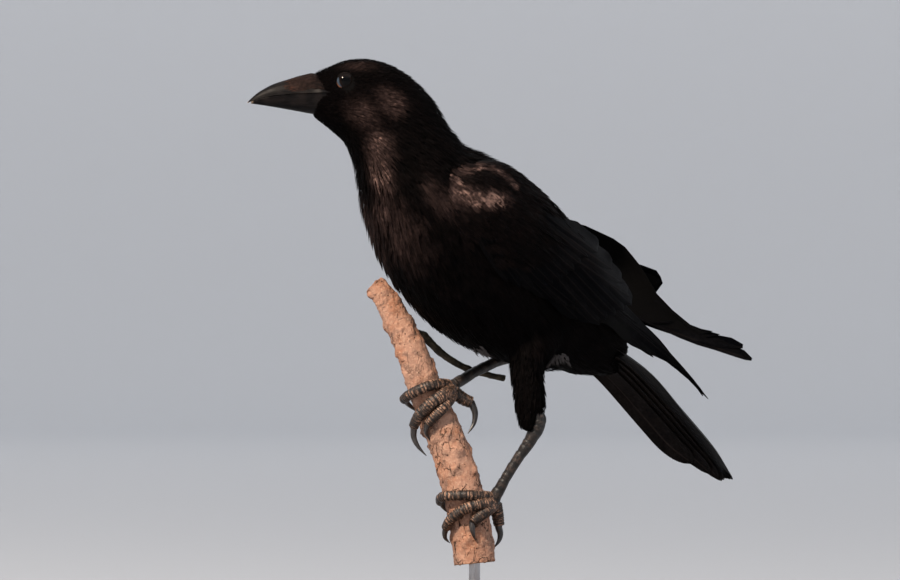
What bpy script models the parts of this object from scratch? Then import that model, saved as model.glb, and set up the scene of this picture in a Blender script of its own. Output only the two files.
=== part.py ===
"""A life-size carrion crow gripping a short cut branch on a plain display stand.

The frame is metres with +Z up. The origin is the middle of the underside of the base.
The crow looks along -X, and its body is turned a little towards -Y. Lists are in
millimetres and degrees, and MM turns them into metres.
"""

import math
from collections import namedtuple

import bmesh
import bpy
from mathutils import Matrix, Vector

MM = 0.001
GAP = 0.3  # space left between two pieces that meet
SHARP_FROM = math.radians(50)

BODY_TURN = 36.0  # how far the trunk is turned about the vertical
HEAD_TURN = 8.0
BODY_SQUARENESS = 2.15  # superellipse power of the body's sections
BODY_SIDES = 22
STEPS_PER_STATION = 2
RUMP_DOME = 8.0  # depth of the low dome that closes the trunk under the tail
DOME_RINGS = ((0.82, 0.55), (0.45, 0.92))  # size and share of the depth of its two rings

EYE_CENTRE = (-93.3, -44.6, 375.7)
EYE_RADIUS = 7.5
HEAD_MIDDLE_Y = -33.0

BILL_TIP = (-161.8, -42.6, 359.4)
BILL_SIDES = 14
BILL_FULLNESS = 0.8  # below 1 makes a half section of the bill fuller than a half ellipse
BILL_TIP_SIZE = 0.12  # size of the last ring, against the one before it
UPPER_TIP_DROP = 0.6
LOWER_TIP_BACK = 2.4
LOWER_TIP_RISE = 0.4

WING_SHIFT = 27.0  # how much further back the right wing is held than the left
WING_LIFT = 29.0  # how much higher
WING_LIFT_SECTIONS = 4.5  # how many sections past the trunk it takes to rise that far
RIGHT_WING_DROP = (0, 0, 0, 1, 8, 11, 7, 2)  # how much lower its upper edge is, by section
RIGHT_WING_OPEN = (0, 0, 2, 6, 11, 14, 11, 3)  # how much lower its lower edge is
WING_INSET = 2.5  # how far inside the trunk its inner side starts, before it is cut
WING_HALF_SIDES = 7
EDGE_SHARE = 0.25  # thickness of a blade's edge, against its middle

THIGH_SIDES = 14
TARSUS_SIDES = 10
TOE_SIDES = 8
CLAW_SIDES = 6
PERCH_SIDES = 18
TWIG_SIDES = 8

ROD_RADIUS = 4.0
BASE_RADIUS = 95.0
BASE_HEIGHT = 15.0
BASE_ROUND = 1.6
PERCH_FOOT = 32.0  # height of the perch's sawn lower end

# One section of the body: its middle, how far it is turned about the vertical, how far
# its top leans back, and half its width and depth.
Station = namedtuple("Station", "x y z turn lean half_width half_depth")

HEAD = {
    "bill_base": Station(-114.7, -36.1, 365.1, 8, 1, 11.0, 14.9),
    "brow": Station(-104.3, -34.6, 364.0, 8, 2, 15.5, 21.4),
    "eye": Station(-94.7, -33.2, 363.5, 8, 7, 19.0, 27.1),
    "cheek": Station(-82.9, -31.5, 361.0, 9, 17, 23.0, 31.5),
    "occiput": Station(-72.6, -29.6, 354.0, 12, 27, 26.5, 35.5),
}
NECK = {
    "occiput": HEAD["occiput"],
    "nape_high": Station(-63.6, -27.4, 345.0, 16, 36, 29.5, 37.4),
    "nape": Station(-56.6, -24.8, 332.8, 21, 44, 33.0, 39.8),
    "nape_low": Station(-50.4, -22.3, 319.0, 26, 50, 37.5, 40.2),
    "neck_base": Station(-43.9, -19.2, 305.8, 31, 55, 43.0, 44.0),
}
TRUNK = {
    "neck_base": NECK["neck_base"],
    "shoulder": Station(-31.4, -11.2, 295.0, 34, 57, 49.0, 52.8),
    "breast": Station(-19.0, -3.0, 279.3, 36, 57, 53.0, 60.3),
    "trunk": Station(-4.5, 8.0, 262.3, 36, 55, 54.0, 64.3),
    "belly": Station(11.3, 19.5, 243.8, 36, 52, 53.0, 63.6),
    "flank": Station(30.9, 33.7, 228.7, 36, 48, 48.0, 62.4),
    "vent": Station(51.0, 48.4, 216.0, 36, 43, 42.0, 54.9),
    "rump": Station(70.6, 62.6, 206.6, 36, 37, 35.0, 44.6),
    "covert": Station(87.6, 75.0, 195.2, 36, 30, 27.0, 33.6),
    "covert_end": Station(99.0, 83.6, 184.0, 36, 20, 18.0, 20.0),
}

# Bill sections: distance from the tip, ridge, gape and lower edge heights, half width.
Bite = namedtuple("Bite", "back ridge gape under half_width")
BILL = (
    Bite(46.2, 380.6, 366.6, 352.4, 10.0),
    Bite(37.0, 378.2, 366.2, 354.0, 8.6),
    Bite(28.6, 376.2, 365.7, 355.5, 7.4),
    Bite(18.0, 373.4, 364.8, 357.2, 5.4),
    Bite(9.0, 369.6, 363.4, 358.6, 3.4),
    Bite(3.2, 365.0, 361.6, 359.4, 1.7),
)

# Where a folded wing lies on the trunk: its place among the trunk's stations, the angles
# round the body of its upper and lower edges, and how far it stands off.
Cover = namedtuple("Cover", "place upper lower proud")
WING_ON_TRUNK = (
    Cover(0.45, 38, 8, 2.5),
    Cover(0.80, 52, -2, 6.0),
    Cover(1.30, 55, -10, 7.2),
    Cover(2.00, 56.6, -17, 7.2),
    Cover(3.00, 57.5, -19, 6.8),
    Cover(4.00, 61, -15, 6.3),
)
# Where it goes on past the trunk: upper and lower edge as distance back along the body,
# distance out from its middle and height, how far the middle stands out, and thickness.
Fold = namedtuple("Fold", "upper lower bulge thickness")
WING_PAST_TRUNK = (
    Fold((90, 14, 266), (46, 51, 217), 17, 8),
    Fold((108, 11, 249.5), (70, 46, 206), 13, 7.5),
    Fold((125, 9, 234), (95, 39, 201.4), 8, 7),
    Fold((139, 7, 219), (112, 28, 194.5), 6, 6),
    Fold((151, 4, 205.5), (133, 17, 186), 3, 5.5),
    Fold((176, 1, 186), (168, 4, 176), 1.5, 5),
    Fold((203, -6.5, 168), (199, -5.5, 165), 0.6, 3.2),
    Fold((223, -12.4, 150), (221.5, -12, 148.2), 0.2, 1.5),
)

TAIL_ROLL = math.radians(6)  # the tail's left edge is held higher than its right

# Folded tail sections: middle, half width, how far the edges drop, and thickness.
Fan = namedtuple("Fan", "middle half_width drop thickness")
TAIL = (
    Fan((69.5, 61, 199.5), 12, 5, 8),
    Fan((89, 76, 185.2), 18.5, 8, 9),
    Fan((114.5, 95, 166.4), 24, 10, 8),
    Fan((140.5, 115, 141.6), 26.5, 11, 7),
    Fan((162.5, 132, 117.6), 26.5, 10, 5.5),
    Fan((173.5, 140.5, 103), 23, 8, 4.5),
    Fan((180.5, 146, 93.5), 15, 5, 3),
)

# Legs: middle of each section and its radius.
THIGH_LEFT = (
    ((50, 20, 206), 19),
    ((42, 11, 188), 17.5),
    ((37, 4, 174), 13.6),
    ((38.2, 0, 158), 12.2),
    ((39.4, -1, 145), 11.8),
    ((40.2, -2, 134), 10.4),
    ((39.8, -2, 126.5), 7.6),
)
THIGH_RIGHT = (
    ((24, 70, 216), 17),
    ((27, 70, 203), 17),
    ((30, 67, 191), 14),
    ((32, 61, 183), 10),
    ((32, 57, 179.5), 6.8),
)
TARSUS_LEFT = (
    ((40.6, -2, 125.0), 5.4),
    ((38.2, -2, 119.6), 4.9),
    ((33.8, -1.6, 112.0), 4.1),
    ((27.5, -1, 102.0), 3.9),
    ((20.8, 0, 90.6), 3.9),
    ((16.2, 1, 82.5), 4.3),
    ((13.8, 1.6, 78.0), 4.7),
)
TARSUS_RIGHT = (
    ((29.8, 55.4, 179.0), 5.2),
    ((26.0, 52.6, 178.6), 4.8),
    ((18.4, 48.0, 176.4), 4.1),
    ((4.0, 39.2, 170.0), 3.9),
    ((-8.4, 31.0, 163.0), 4.0),
    ((-14.6, 26.6, 159.4), 4.4),
)

PERCH = (
    ((-73.0, 22.4, 230.8), 5.0),
    ((-71.8, 22.0, 228.8), 7.6),
    ((-63.5, 20.5, 220.0), 8.7),
    ((-54.3, 19.0, 202.1), 9.8),
    ((-45.6, 17.0, 184.3), 10.9),
    ((-36.8, 15.0, 159.3), 12.0),
    ((-25.6, 11.5, 132.1), 12.8),
    ((-18.0, 9.5, 112.9), 13.6),
    ((-8.6, 6.5, 82.1), 14.2),
    ((-2.8, 4.2, 54.0), 14.5),
    ((-0.4, 3.0, PERCH_FOOT), 14.6),
)
TWIG = (
    ((-46, 20, 190), 3.6),
    ((-38.6, 28, 194.3), 3.2),
    ((-24.3, 38, 181.8), 2.6),
    ((-10.2, 45, 172.6), 2.4),
    ((3.8, 50, 167.4), 2.2),
    ((21.2, 54, 163.2), 2.1),
)

# A toe lies on the perch: angle about the perch (0 is +X, -90 is -Y), height, space
# between its underside and the bark, and radius. The claw goes on from its end.
Toe = namedtuple("Toe", "angle height clear radius")
TOES_LEFT = {
    "inner": (Toe(-8, 78.5, 1.2, 4.6), Toe(-50, 80.5, 0.6, 3.9), Toe(-95, 80.8, 0.5, 3.8),
              Toe(-145, 79.5, 0.5, 3.8), Toe(-190, 75.5, 0.4, 3.4)),
    "middle": (Toe(-10, 75.5, 1.2, 4.6), Toe(-50, 74.5, 1.2, 4.2), Toe(-90, 71.5, 0.8, 3.9),
               Toe(-130, 64.0, 0.6, 3.6), Toe(-158, 57.0, 1.5, 3.0)),
    "outer": (Toe(-6, 73.5, 1.4, 4.6), Toe(-38, 70.0, 0.8, 4.2), Toe(-64, 65.6, 0.5, 3.9),
              Toe(-82, 61.4, 0.5, 3.4)),
    "hind": (Toe(2, 74.0, 2.2, 4.8), Toe(12, 66.0, 3.0, 4.4), Toe(18, 58.6, 3.6, 4.0)),
}
CLAWS_LEFT = {
    "inner": (Toe(-196, 74.0, 0.4, 2.2), Toe(-210, 70.5, 0.5, 1.8), Toe(-222, 65.5, 0.1, 0.7)),
    "middle": (Toe(-163, 55.0, 2.0, 2.2), Toe(-168, 51.4, 2.6, 1.7), Toe(-170, 47.6, 2.0, 0.6)),
    "outer": (Toe(-85, 59.2, 1.2, 2.3), Toe(-86, 55.0, 1.8, 1.8), Toe(-82, 49.8, 0.8, 0.6)),
    "hind": (Toe(19, 55.0, 4.2, 2.6), Toe(18, 49.4, 4.2, 2.1), Toe(13, 43.4, 1.0, 0.7)),
}
TOES_RIGHT = {
    "outer": (Toe(-4, 158.6, 1.0, 4.6), Toe(-50, 160.0, 0.6, 4.0), Toe(-95, 157.0, 0.5, 3.9),
              Toe(-140, 152.0, 1.2, 3.7), Toe(-172, 148.6, 2.8, 3.5)),
    "middle": (Toe(-8, 156.0, 1.2, 4.7), Toe(-50, 152.6, 1.4, 4.5), Toe(-92, 146.0, 1.0, 4.3),
               Toe(-130, 137.4, 2.0, 4.0), Toe(-158, 129.2, 4.6, 3.4)),
    "inner": (Toe(-4, 153.0, 1.2, 4.6), Toe(-44, 147.0, 0.5, 4.0), Toe(-84, 139.0, 0.4, 3.8),
              Toe(-122, 131.4, 0.4, 3.4)),
    "hind": (Toe(6, 154.0, 2.4, 4.8), Toe(12, 149.0, 7.5, 4.6), Toe(14, 146.4, 13.0, 4.2)),
}
CLAWS_RIGHT = {
    "outer": (Toe(-178, 147.2, 2.8, 2.2), Toe(-196, 143.8, 1.4, 1.8), Toe(-212, 139.0, 0.1, 0.7)),
    "middle": (Toe(-163, 125.8, 6.0, 2.4), Toe(-168, 118.6, 6.6, 1.9), Toe(-168, 109.6, 5.4, 0.7)),
    "inner": (Toe(-128, 129.4, 0.6, 2.2), Toe(-138, 125.2, 0.6, 1.8), Toe(-146, 120.2, 0.1, 0.7)),
    "hind": (Toe(15, 143.2, 14.0, 2.7), Toe(16, 135.6, 12.4, 2.2), Toe(14, 125.0, 5.0, 0.7)),
}


def clear_scene():
    for thing in list(bpy.data.objects):
        bpy.data.objects.remove(thing, do_unlink=True)


def finish_of(name, colour, roughness, metallic=0.0):
    material = bpy.data.materials.new(name)
    material.use_nodes = True
    shader = material.node_tree.nodes["Principled BSDF"]
    shader.inputs["Base Color"].default_value = (*colour, 1.0)
    shader.inputs["Roughness"].default_value = roughness
    shader.inputs["Metallic"].default_value = metallic
    return material


def put_in_scene(name, bm, material=None):
    """Names the finished bmesh, scales it from millimetres and links it to the scene."""
    bmesh.ops.recalc_face_normals(bm, faces=bm.faces)
    bmesh.ops.transform(bm, matrix=Matrix.Scale(MM, 4), verts=bm.verts)
    mesh = bpy.data.meshes.new(name)
    bm.to_mesh(mesh)
    bm.free()
    mesh.shade_smooth()
    mesh.set_sharp_from_angle(angle=SHARP_FROM)
    piece = bpy.data.objects.new(name, mesh)
    if material:
        piece.data.materials.append(material)
    bpy.context.scene.collection.objects.link(piece)
    return piece


def loft(rings):
    """A closed skin through rings of equal length, made by extruding the first ring."""
    bm = bmesh.new()
    made = bmesh.ops.create_circle(bm, cap_ends=True, segments=len(rings[0]), radius=1.0)
    loop = made["verts"]
    for vertex, place in zip(loop, rings[0]):
        vertex.co = place
    for ring in rings[1:]:
        edges = [bm.edges.get((loop[i - 1], loop[i])) for i in range(len(loop))]
        grown = bmesh.ops.extrude_edge_only(bm, edges=edges)["geom"]
        fresh = {part for part in grown if isinstance(part, bmesh.types.BMVert)}
        loop = [
            next(e.other_vert(v) for e in v.link_edges if e.other_vert(v) in fresh)
            for v in loop
        ]
        for vertex, place in zip(loop, ring):
            vertex.co = place
    bm.faces.new(loop)
    return bm


def smooth_value(values, place):
    """The Catmull-Rom value at a place counted in stations."""
    last = len(values) - 1
    first = min(int(place), last - 1)
    t = place - first
    a = values[max(first - 1, 0)]
    b = values[first]
    c = values[first + 1]
    d = values[min(first + 2, last)]
    return 0.5 * (
        2 * b + (c - a) * t + (2 * a - 5 * b + 4 * c - d) * t * t + (3 * b - a - 3 * c + d) * t ** 3
    )


def places(count, steps=STEPS_PER_STATION):
    """Evenly spaced places along a row of stations, both ends among them."""
    return [i / steps for i in range((count - 1) * steps + 1)]


def direction(turn, lean=90.0):
    """A unit vector turned about the vertical and leant back from it, in degrees."""
    turn = math.radians(turn)
    lean = math.radians(lean)
    return Vector((
        math.sin(lean) * math.cos(turn), math.sin(lean) * math.sin(turn), math.cos(lean)
    ))


def leftward(turn):
    return direction(turn - 90.0)


def rounded_power(value):
    return math.copysign(abs(value) ** (2.0 / BODY_SQUARENESS), value)


def row_middle(station):
    return Vector((station.x, station.y, station.z))


def body_point(station, angle, proud=0.0):
    """A point of the superellipse across the body. proud moves it outwards."""
    side = leftward(station.turn) * (station.half_width + proud)
    top = direction(station.turn, station.lean) * (station.half_depth + proud)
    angle = math.radians(angle)
    return (
        row_middle(station)
        + side * rounded_power(math.cos(angle))
        + top * rounded_power(math.sin(angle))
    )


def body_ring(station, proud=0.0):
    return [body_point(station, 360.0 * i / BODY_SIDES, proud) for i in range(BODY_SIDES)]


def station_at(stations, place):
    return Station(*(smooth_value(column, place) for column in zip(*stations)))


def body_rings(part, proud=0.0, start_gap=0.0, end_gap=0.0):
    """The rings of one part of the body, its ends drawn in to clear its neighbours."""
    stations = list(part.values())
    rows = [station_at(stations, place) for place in places(len(stations))]
    rings = [body_ring(row, proud) for row in rows]
    for index, other, gap in ((0, 1, start_gap), (-1, -2, end_gap)):
        inwards = row_middle(rows[other]) - row_middle(rows[index])
        inwards.normalize()
        rings[index] = [point + inwards * gap for point in rings[index]]
    return rings


def rump_dome(ring, proud=0.0):
    """Smaller rings past the trunk's last one, so that it closes in a low dome."""
    middle = sum(ring, Vector()) / len(ring)
    depth = direction(BODY_TURN, 135.0) * (RUMP_DOME + proud)
    return [
        [middle + (point - middle) * size + depth * reach for point in ring]
        for size, reach in DOME_RINGS
    ]


def make_head(finish):
    rings = body_rings(HEAD, end_gap=GAP / 2)
    return put_in_scene("head", loft(rings), finish)


def make_neck(finish):
    rings = body_rings(NECK, start_gap=GAP / 2, end_gap=GAP / 2)
    return put_in_scene("neck", loft(rings), finish)


def make_trunk(finish):
    rings = body_rings(TRUNK, start_gap=GAP / 2)
    rings += rump_dome(rings[-1])
    return put_in_scene("trunk", loft(rings), finish)


def make_trunk_cutter():
    """The trunk, grown by the gap, that hollows what lies against it."""
    rings = body_rings(TRUNK, proud=GAP)
    rings += rump_dome(rings[-1], GAP)
    return put_cutter("trunk", loft(rings))


def put_cutter(name, bm):
    """A helper for a Boolean, left out of the finished object."""
    piece = put_in_scene("cutter_" + name, bm)
    piece.hide_render = True
    piece.display_type = "WIRE"
    return piece


def combine(piece, other, operation):
    step = piece.modifiers.new(other.name, "BOOLEAN")
    step.operation = operation
    step.solver = "EXACT"
    step.object = other


def cut_by(piece, cutter):
    combine(piece, cutter, "DIFFERENCE")


def joined_with(piece, other):
    combine(piece, other, "UNION")


def ball(centre, radius):
    """A sphere with its poles across the head, so that they face to the sides."""
    bm = bmesh.new()
    bmesh.ops.create_uvsphere(bm, u_segments=14, v_segments=10, radius=radius)
    bmesh.ops.rotate(bm, matrix=Matrix.Rotation(math.pi / 2, 3, "X"), verts=bm.verts)
    bmesh.ops.translate(bm, vec=Vector(centre), verts=bm.verts)
    return bm


def eye_centres():
    """Left as given, and right mirrored across the head's middle plane."""
    left = Vector(EYE_CENTRE)
    across = leftward(HEAD_TURN)
    middle = Vector((EYE_CENTRE[0], HEAD_MIDDLE_Y, EYE_CENTRE[2]))
    return {"left": left, "right": left - across * 2 * (left - middle).dot(across)}


def make_eyes(finish, head):
    for side, centre in eye_centres().items():
        put_in_scene("eye_" + side, ball(centre, EYE_RADIUS), finish)
        cut_by(head, put_cutter("socket_" + side, ball(centre, EYE_RADIUS + GAP)))


def bill_ring(bite, upper):
    """Half a bill section: a flat cutting face and a rounded back, above or below."""
    tip = Vector(BILL_TIP)
    middle = tip + direction(HEAD_TURN) * bite.back
    side = leftward(HEAD_TURN) * bite.half_width
    edge = bite.gape + GAP / 2 if upper else bite.gape - GAP / 2
    reach = (bite.ridge if upper else bite.under) - edge
    ring = []
    for i in range(BILL_SIDES):
        angle = math.pi * i / (BILL_SIDES - 1)
        point = middle + side * math.cos(angle)
        point.z = edge + reach * max(math.sin(angle), 0.0) ** BILL_FULLNESS
        ring.append(point)
    return ring


def make_bill(finish):
    for name, upper in (("bill_upper", True), ("bill_lower", False)):
        rings = [bill_ring(bite, upper) for bite in BILL]
        end = Vector(BILL_TIP)
        if upper:
            end.z -= UPPER_TIP_DROP
        else:
            end += direction(HEAD_TURN) * LOWER_TIP_BACK
            end.z = BILL[-1].under + LOWER_TIP_RISE
        rings.append([end + (point - end) * BILL_TIP_SIZE for point in rings[-1]])
        put_in_scene(name, loft(rings), finish)


def edge_profile(s):
    """1 in the middle of a blade's section, falling to EDGE_SHARE at its edges."""
    return EDGE_SHARE + (1 - EDGE_SHARE) * math.sqrt(max(4 * s * (1 - s), 0.0))


def blade_ring(edge_a, edge_b, outwards, bulge, thickness, proud=0.0):
    """A thin arched section from one edge to the other, thickest in the middle."""
    outer = []
    inner = []
    for i in range(WING_HALF_SIDES + 1):
        s = i / WING_HALF_SIDES
        middle = edge_a.lerp(edge_b, s) + outwards * bulge * 4 * s * (1 - s)
        half = thickness / 2 * edge_profile(s) + proud
        outer.append(middle + outwards * half)
        inner.append(middle - outwards * half)
    return outer + inner[::-1]


def from_body(along, out, height, side=1):
    """A point given back along the trunk, out to one side of it, and up."""
    origin = row_middle(TRUNK["trunk"])
    point = origin + direction(BODY_TURN) * along + leftward(BODY_TURN) * out * side
    point.z = height
    return point


def cover_ring(cover, side):
    """A section of the wing where it hugs the trunk. The trunk is cut from it later."""
    station = station_at(list(TRUNK.values()), cover.place)
    outer = []
    inner = []
    for i in range(WING_HALF_SIDES + 1):
        s = i / WING_HALF_SIDES
        angle = cover.upper + (cover.lower - cover.upper) * s
        if side < 0:
            angle = 180.0 - angle
        outer.append(body_point(station, angle, cover.proud * edge_profile(s)))
        inner.append(body_point(station, angle, -WING_INSET))
    return outer + inner[::-1]


def wing_lift(index):
    """How far along its rise a section of the right wing is, from 0 to 1."""
    t = min((index + 1.0) / WING_LIFT_SECTIONS, 1.0)
    return t * (2.0 - t)


def wing_rings(side):
    """side is 1 for the left wing and -1 for the right, which is held higher."""
    rings = [cover_ring(cover, side) for cover in WING_ON_TRUNK]
    edges = []
    for index, fold in enumerate(WING_PAST_TRUNK):
        lift = wing_lift(index) if side < 0 else 0.0
        drops = (RIGHT_WING_DROP[index], RIGHT_WING_OPEN[index]) if side < 0 else (0, 0)
        edges.append([
            from_body(along + WING_SHIFT * lift, out, height + WING_LIFT * lift - drop, side)
            for (along, out, height), drop in zip((fold.upper, fold.lower), drops)
        ])
    for index, fold in enumerate(WING_PAST_TRUNK):
        before = edges[max(index - 1, 0)]
        after = edges[min(index + 1, len(edges) - 1)]
        along = (after[0] + after[1]) - (before[0] + before[1])
        upper, lower = edges[index]
        outwards = along.cross(upper - lower).normalized() * side
        rings.append(blade_ring(upper, lower, outwards, fold.bulge, fold.thickness))
    points = list(zip(*rings))
    return [
        [smooth_value(column, place) for column in points] for place in places(len(rings))
    ]


def make_wings(finish, cutter):
    for name, side in (("wing_left", 1), ("wing_right", -1)):
        wing = put_in_scene(name, loft(wing_rings(side)), finish)
        cut_by(wing, cutter)


def tail_rings(proud=0.0):
    columns = [(*fan.middle, fan.half_width, fan.drop, fan.thickness) for fan in TAIL]
    slope = (Vector(TAIL[-1].middle) - Vector(TAIL[0].middle)).normalized()
    level = leftward(BODY_TURN)
    upwards = level.cross(slope).normalized()
    across = level * math.cos(TAIL_ROLL) + upwards * math.sin(TAIL_ROLL)
    upwards = across.cross(slope)
    rings = []
    for place in places(len(TAIL)):
        row = [smooth_value(column, place) for column in zip(*columns)]
        x, y, z, half_width, drop, thickness = row
        middle = Vector((x, y, z)) - upwards * drop
        half = across * (half_width + proud)
        rings.append(blade_ring(middle + half, middle - half, upwards, drop, thickness, proud))
    rings[0] = [point - slope * proud for point in rings[0]]
    return rings


def make_tail(finish, trunk):
    put_in_scene("tail", loft(tail_rings()), finish)
    cut_by(trunk, put_cutter("tail", loft(tail_rings(GAP))))


def tube_rings(path, sides, proud=0.0):
    """Round rings square to a smooth path of (point, radius)."""
    columns = [(*point, radius) for point, radius in path]
    rows = [
        [smooth_value(column, place) for column in zip(*columns)]
        for place in places(len(path))
    ]
    middles = [Vector(row[:3]) for row in rows]
    rings = []
    across = Vector((0, 1, 0))
    for index, row in enumerate(rows):
        before = middles[max(index - 1, 0)]
        after = middles[min(index + 1, len(rows) - 1)]
        along = (after - before).normalized()
        across = (across - along * across.dot(along)).normalized()
        up = along.cross(across)
        radius = row[3] + proud
        rings.append([
            middles[index]
            + across * radius * math.cos(2 * math.pi * i / sides)
            + up * radius * math.sin(2 * math.pi * i / sides)
            for i in range(sides)
        ])
    return rings


def make_thighs(finish, cutter):
    for name, path in (("thigh_left", THIGH_LEFT), ("thigh_right", THIGH_RIGHT)):
        thigh = put_in_scene(name, loft(tube_rings(path, THIGH_SIDES)), finish)
        cut_by(thigh, cutter)


def make_tube_cutters(name, sides, **paths):
    """Copies of a pair of tubes, grown by the gap, for cutting what they run into."""
    cutters = {}
    for side, path in paths.items():
        cutters[side] = put_cutter(f"{name}_{side}", loft(tube_rings(path, sides, GAP)))
    return cutters


def make_tarsi(finish, trunk_cutter, thigh_cutters, perch_cutter):
    for side, path in (("left", TARSUS_LEFT), ("right", TARSUS_RIGHT)):
        piece = put_in_scene("tarsus_" + side, loft(tube_rings(path, TARSUS_SIDES)), finish)
        for cutter in (trunk_cutter, thigh_cutters[side], perch_cutter):
            cut_by(piece, cutter)


def perch_at(height):
    """The perch's middle and radius at a height."""
    for (low, low_radius), (high, high_radius) in zip(PERCH[:0:-1], PERCH[-2::-1]):
        if height <= high[2]:
            t = (height - low[2]) / (high[2] - low[2])
            middle = Vector(low).lerp(Vector(high), t)
            return middle, low_radius + (high_radius - low_radius) * t
    return Vector(PERCH[0][0]), PERCH[0][1]


def toe_path(toe):
    """Turns the places of a toe or claw on the perch into points and radii."""
    path = []
    for joint in toe:
        middle, perch_radius = perch_at(joint.height)
        reach = perch_radius + joint.clear + joint.radius
        path.append((middle + direction(joint.angle) * reach, joint.radius))
    return path


def make_feet(foot_finish, claw_finish, perch_cutter, tarsus_cutters):
    """Each foot is one piece of four toes, and each claw a piece of its own."""
    feet = (("left", TOES_LEFT, CLAWS_LEFT), ("right", TOES_RIGHT, CLAWS_RIGHT))
    for side, toes, claws in feet:
        foot = None
        for digit, joints in toes.items():
            toe = loft(tube_rings(toe_path(joints), TOE_SIDES))
            if foot is None:
                foot = put_in_scene("foot_" + side, toe, foot_finish)
                continue
            joined_with(foot, put_cutter(f"toe_{side}_{digit}", toe))
        cut_by(foot, perch_cutter)
        cut_by(foot, tarsus_cutters[side])
        for digit, joints in claws.items():
            rings = tube_rings(toe_path(joints), CLAW_SIDES)
            claw = put_in_scene(f"claw_{side}_{digit}", loft(rings), claw_finish)
            cut_by(claw, perch_cutter)


def make_perch(finish):
    perch = put_in_scene("perch", loft(tube_rings(PERCH, PERCH_SIDES)), finish)
    joined_with(perch, put_cutter("twig", loft(tube_rings(TWIG, TWIG_SIDES))))
    return put_cutter("perch", loft(tube_rings(PERCH, PERCH_SIDES, GAP)))


def make_stand(wood_finish, steel_finish, perch_cutter):
    """A round base, and a rod up to the perch's foot."""
    bm = bmesh.new()
    bmesh.ops.create_cone(
        bm, cap_ends=True, segments=56, radius1=BASE_RADIUS, radius2=BASE_RADIUS,
        depth=BASE_HEIGHT,
    )
    rims = [edge for edge in bm.edges if abs(edge.verts[0].co.z - edge.verts[1].co.z) < 0.1]
    bmesh.ops.bevel(
        bm, geom=rims, offset=BASE_ROUND, segments=1, profile=0.5, affect="EDGES"
    )
    bmesh.ops.translate(bm, vec=Vector((0.0, 0.0, BASE_HEIGHT / 2)), verts=bm.verts)
    put_in_scene("stand_base", bm, wood_finish)

    bm = bmesh.new()
    low = BASE_HEIGHT + GAP
    high = PERCH_FOOT + ROD_RADIUS
    bmesh.ops.create_cone(
        bm, cap_ends=True, segments=20, radius1=ROD_RADIUS, radius2=ROD_RADIUS,
        depth=high - low,
    )
    foot = PERCH[-1][0]
    bmesh.ops.translate(bm, vec=Vector((foot[0], foot[1], (low + high) / 2)), verts=bm.verts)
    rod = put_in_scene("stand_rod", bm, steel_finish)
    cut_by(rod, perch_cutter)


def main():
    clear_scene()
    plumage = finish_of("plumage", (0.020, 0.018, 0.018), 0.55)
    flight = finish_of("flight_feather", (0.017, 0.017, 0.020), 0.42)
    bill = finish_of("bill_horn", (0.045, 0.044, 0.047), 0.38)
    eye = finish_of("eye", (0.025, 0.014, 0.010), 0.05)
    scale = finish_of("leg_scale", (0.16, 0.12, 0.10), 0.5)
    claw = finish_of("claw_horn", (0.025, 0.022, 0.022), 0.35)
    bark = finish_of("bark", (0.55, 0.38, 0.28), 0.85)
    wood = finish_of("base_wood", (0.20, 0.12, 0.07), 0.5)
    steel = finish_of("rod_steel", (0.55, 0.55, 0.56), 0.32, 1.0)

    head = make_head(plumage)
    make_neck(plumage)
    trunk = make_trunk(plumage)
    trunk_cutter = make_trunk_cutter()
    make_eyes(eye, head)
    make_bill(bill)
    make_tail(flight, trunk)
    make_wings(flight, trunk_cutter)
    make_thighs(plumage, trunk_cutter)
    thigh_cutters = make_tube_cutters("thigh", THIGH_SIDES, left=THIGH_LEFT, right=THIGH_RIGHT)
    tarsus_cutters = make_tube_cutters("tarsus", TARSUS_SIDES, left=TARSUS_LEFT, right=TARSUS_RIGHT)
    perch_cutter = make_perch(bark)
    make_tarsi(scale, trunk_cutter, thigh_cutters, perch_cutter)
    make_feet(scale, claw, perch_cutter, tarsus_cutters)
    make_stand(wood, steel, perch_cutter)


if __name__ == "__main__":
    main()
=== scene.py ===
"""Looks of a life-size carrion crow on a cut branch and a plain display stand.

Laid out as an add-on: one operator for each group of pieces and one for the stage. The
tables are in millimetres and degrees in the row frame, and MM turns them into metres.
"""

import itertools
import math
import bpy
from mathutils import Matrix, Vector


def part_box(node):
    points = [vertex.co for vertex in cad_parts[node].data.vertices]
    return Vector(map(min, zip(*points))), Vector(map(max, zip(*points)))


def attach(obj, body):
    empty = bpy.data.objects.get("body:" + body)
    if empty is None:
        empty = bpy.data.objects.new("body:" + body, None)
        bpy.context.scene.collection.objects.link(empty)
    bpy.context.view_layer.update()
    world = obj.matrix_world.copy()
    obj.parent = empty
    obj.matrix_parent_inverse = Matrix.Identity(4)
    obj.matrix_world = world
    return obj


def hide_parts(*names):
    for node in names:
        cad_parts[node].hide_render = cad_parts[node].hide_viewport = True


bl_info = {
    "name": "Carrion crow model",
    "version": (1, 0, 0),
    "blender": (4, 5, 0),
    "location": "View3D > Sidebar > Crow",
    "description": "Feathers, bare parts, branch, stand and studio of a carrion crow model",
    "category": "Object",
}

from collections import namedtuple

import bmesh
import bpy
import numpy as np
from bpy.props import FloatProperty, FloatVectorProperty, PointerProperty
from mathutils import Matrix, Vector, noise
from mathutils.bvhtree import BVHTree

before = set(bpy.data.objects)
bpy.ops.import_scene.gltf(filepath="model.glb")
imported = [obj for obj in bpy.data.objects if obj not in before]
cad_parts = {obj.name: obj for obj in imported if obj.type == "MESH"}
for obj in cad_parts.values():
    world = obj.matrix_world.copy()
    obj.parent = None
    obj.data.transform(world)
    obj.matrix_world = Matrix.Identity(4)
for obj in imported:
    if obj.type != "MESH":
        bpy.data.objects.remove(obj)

MM = 0.001
SEED = 41
# Size of one tuft's patch on the OFBake map.
PATCH = 0.003

# ---------------------------------------------------------------- the bird's own axes

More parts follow.
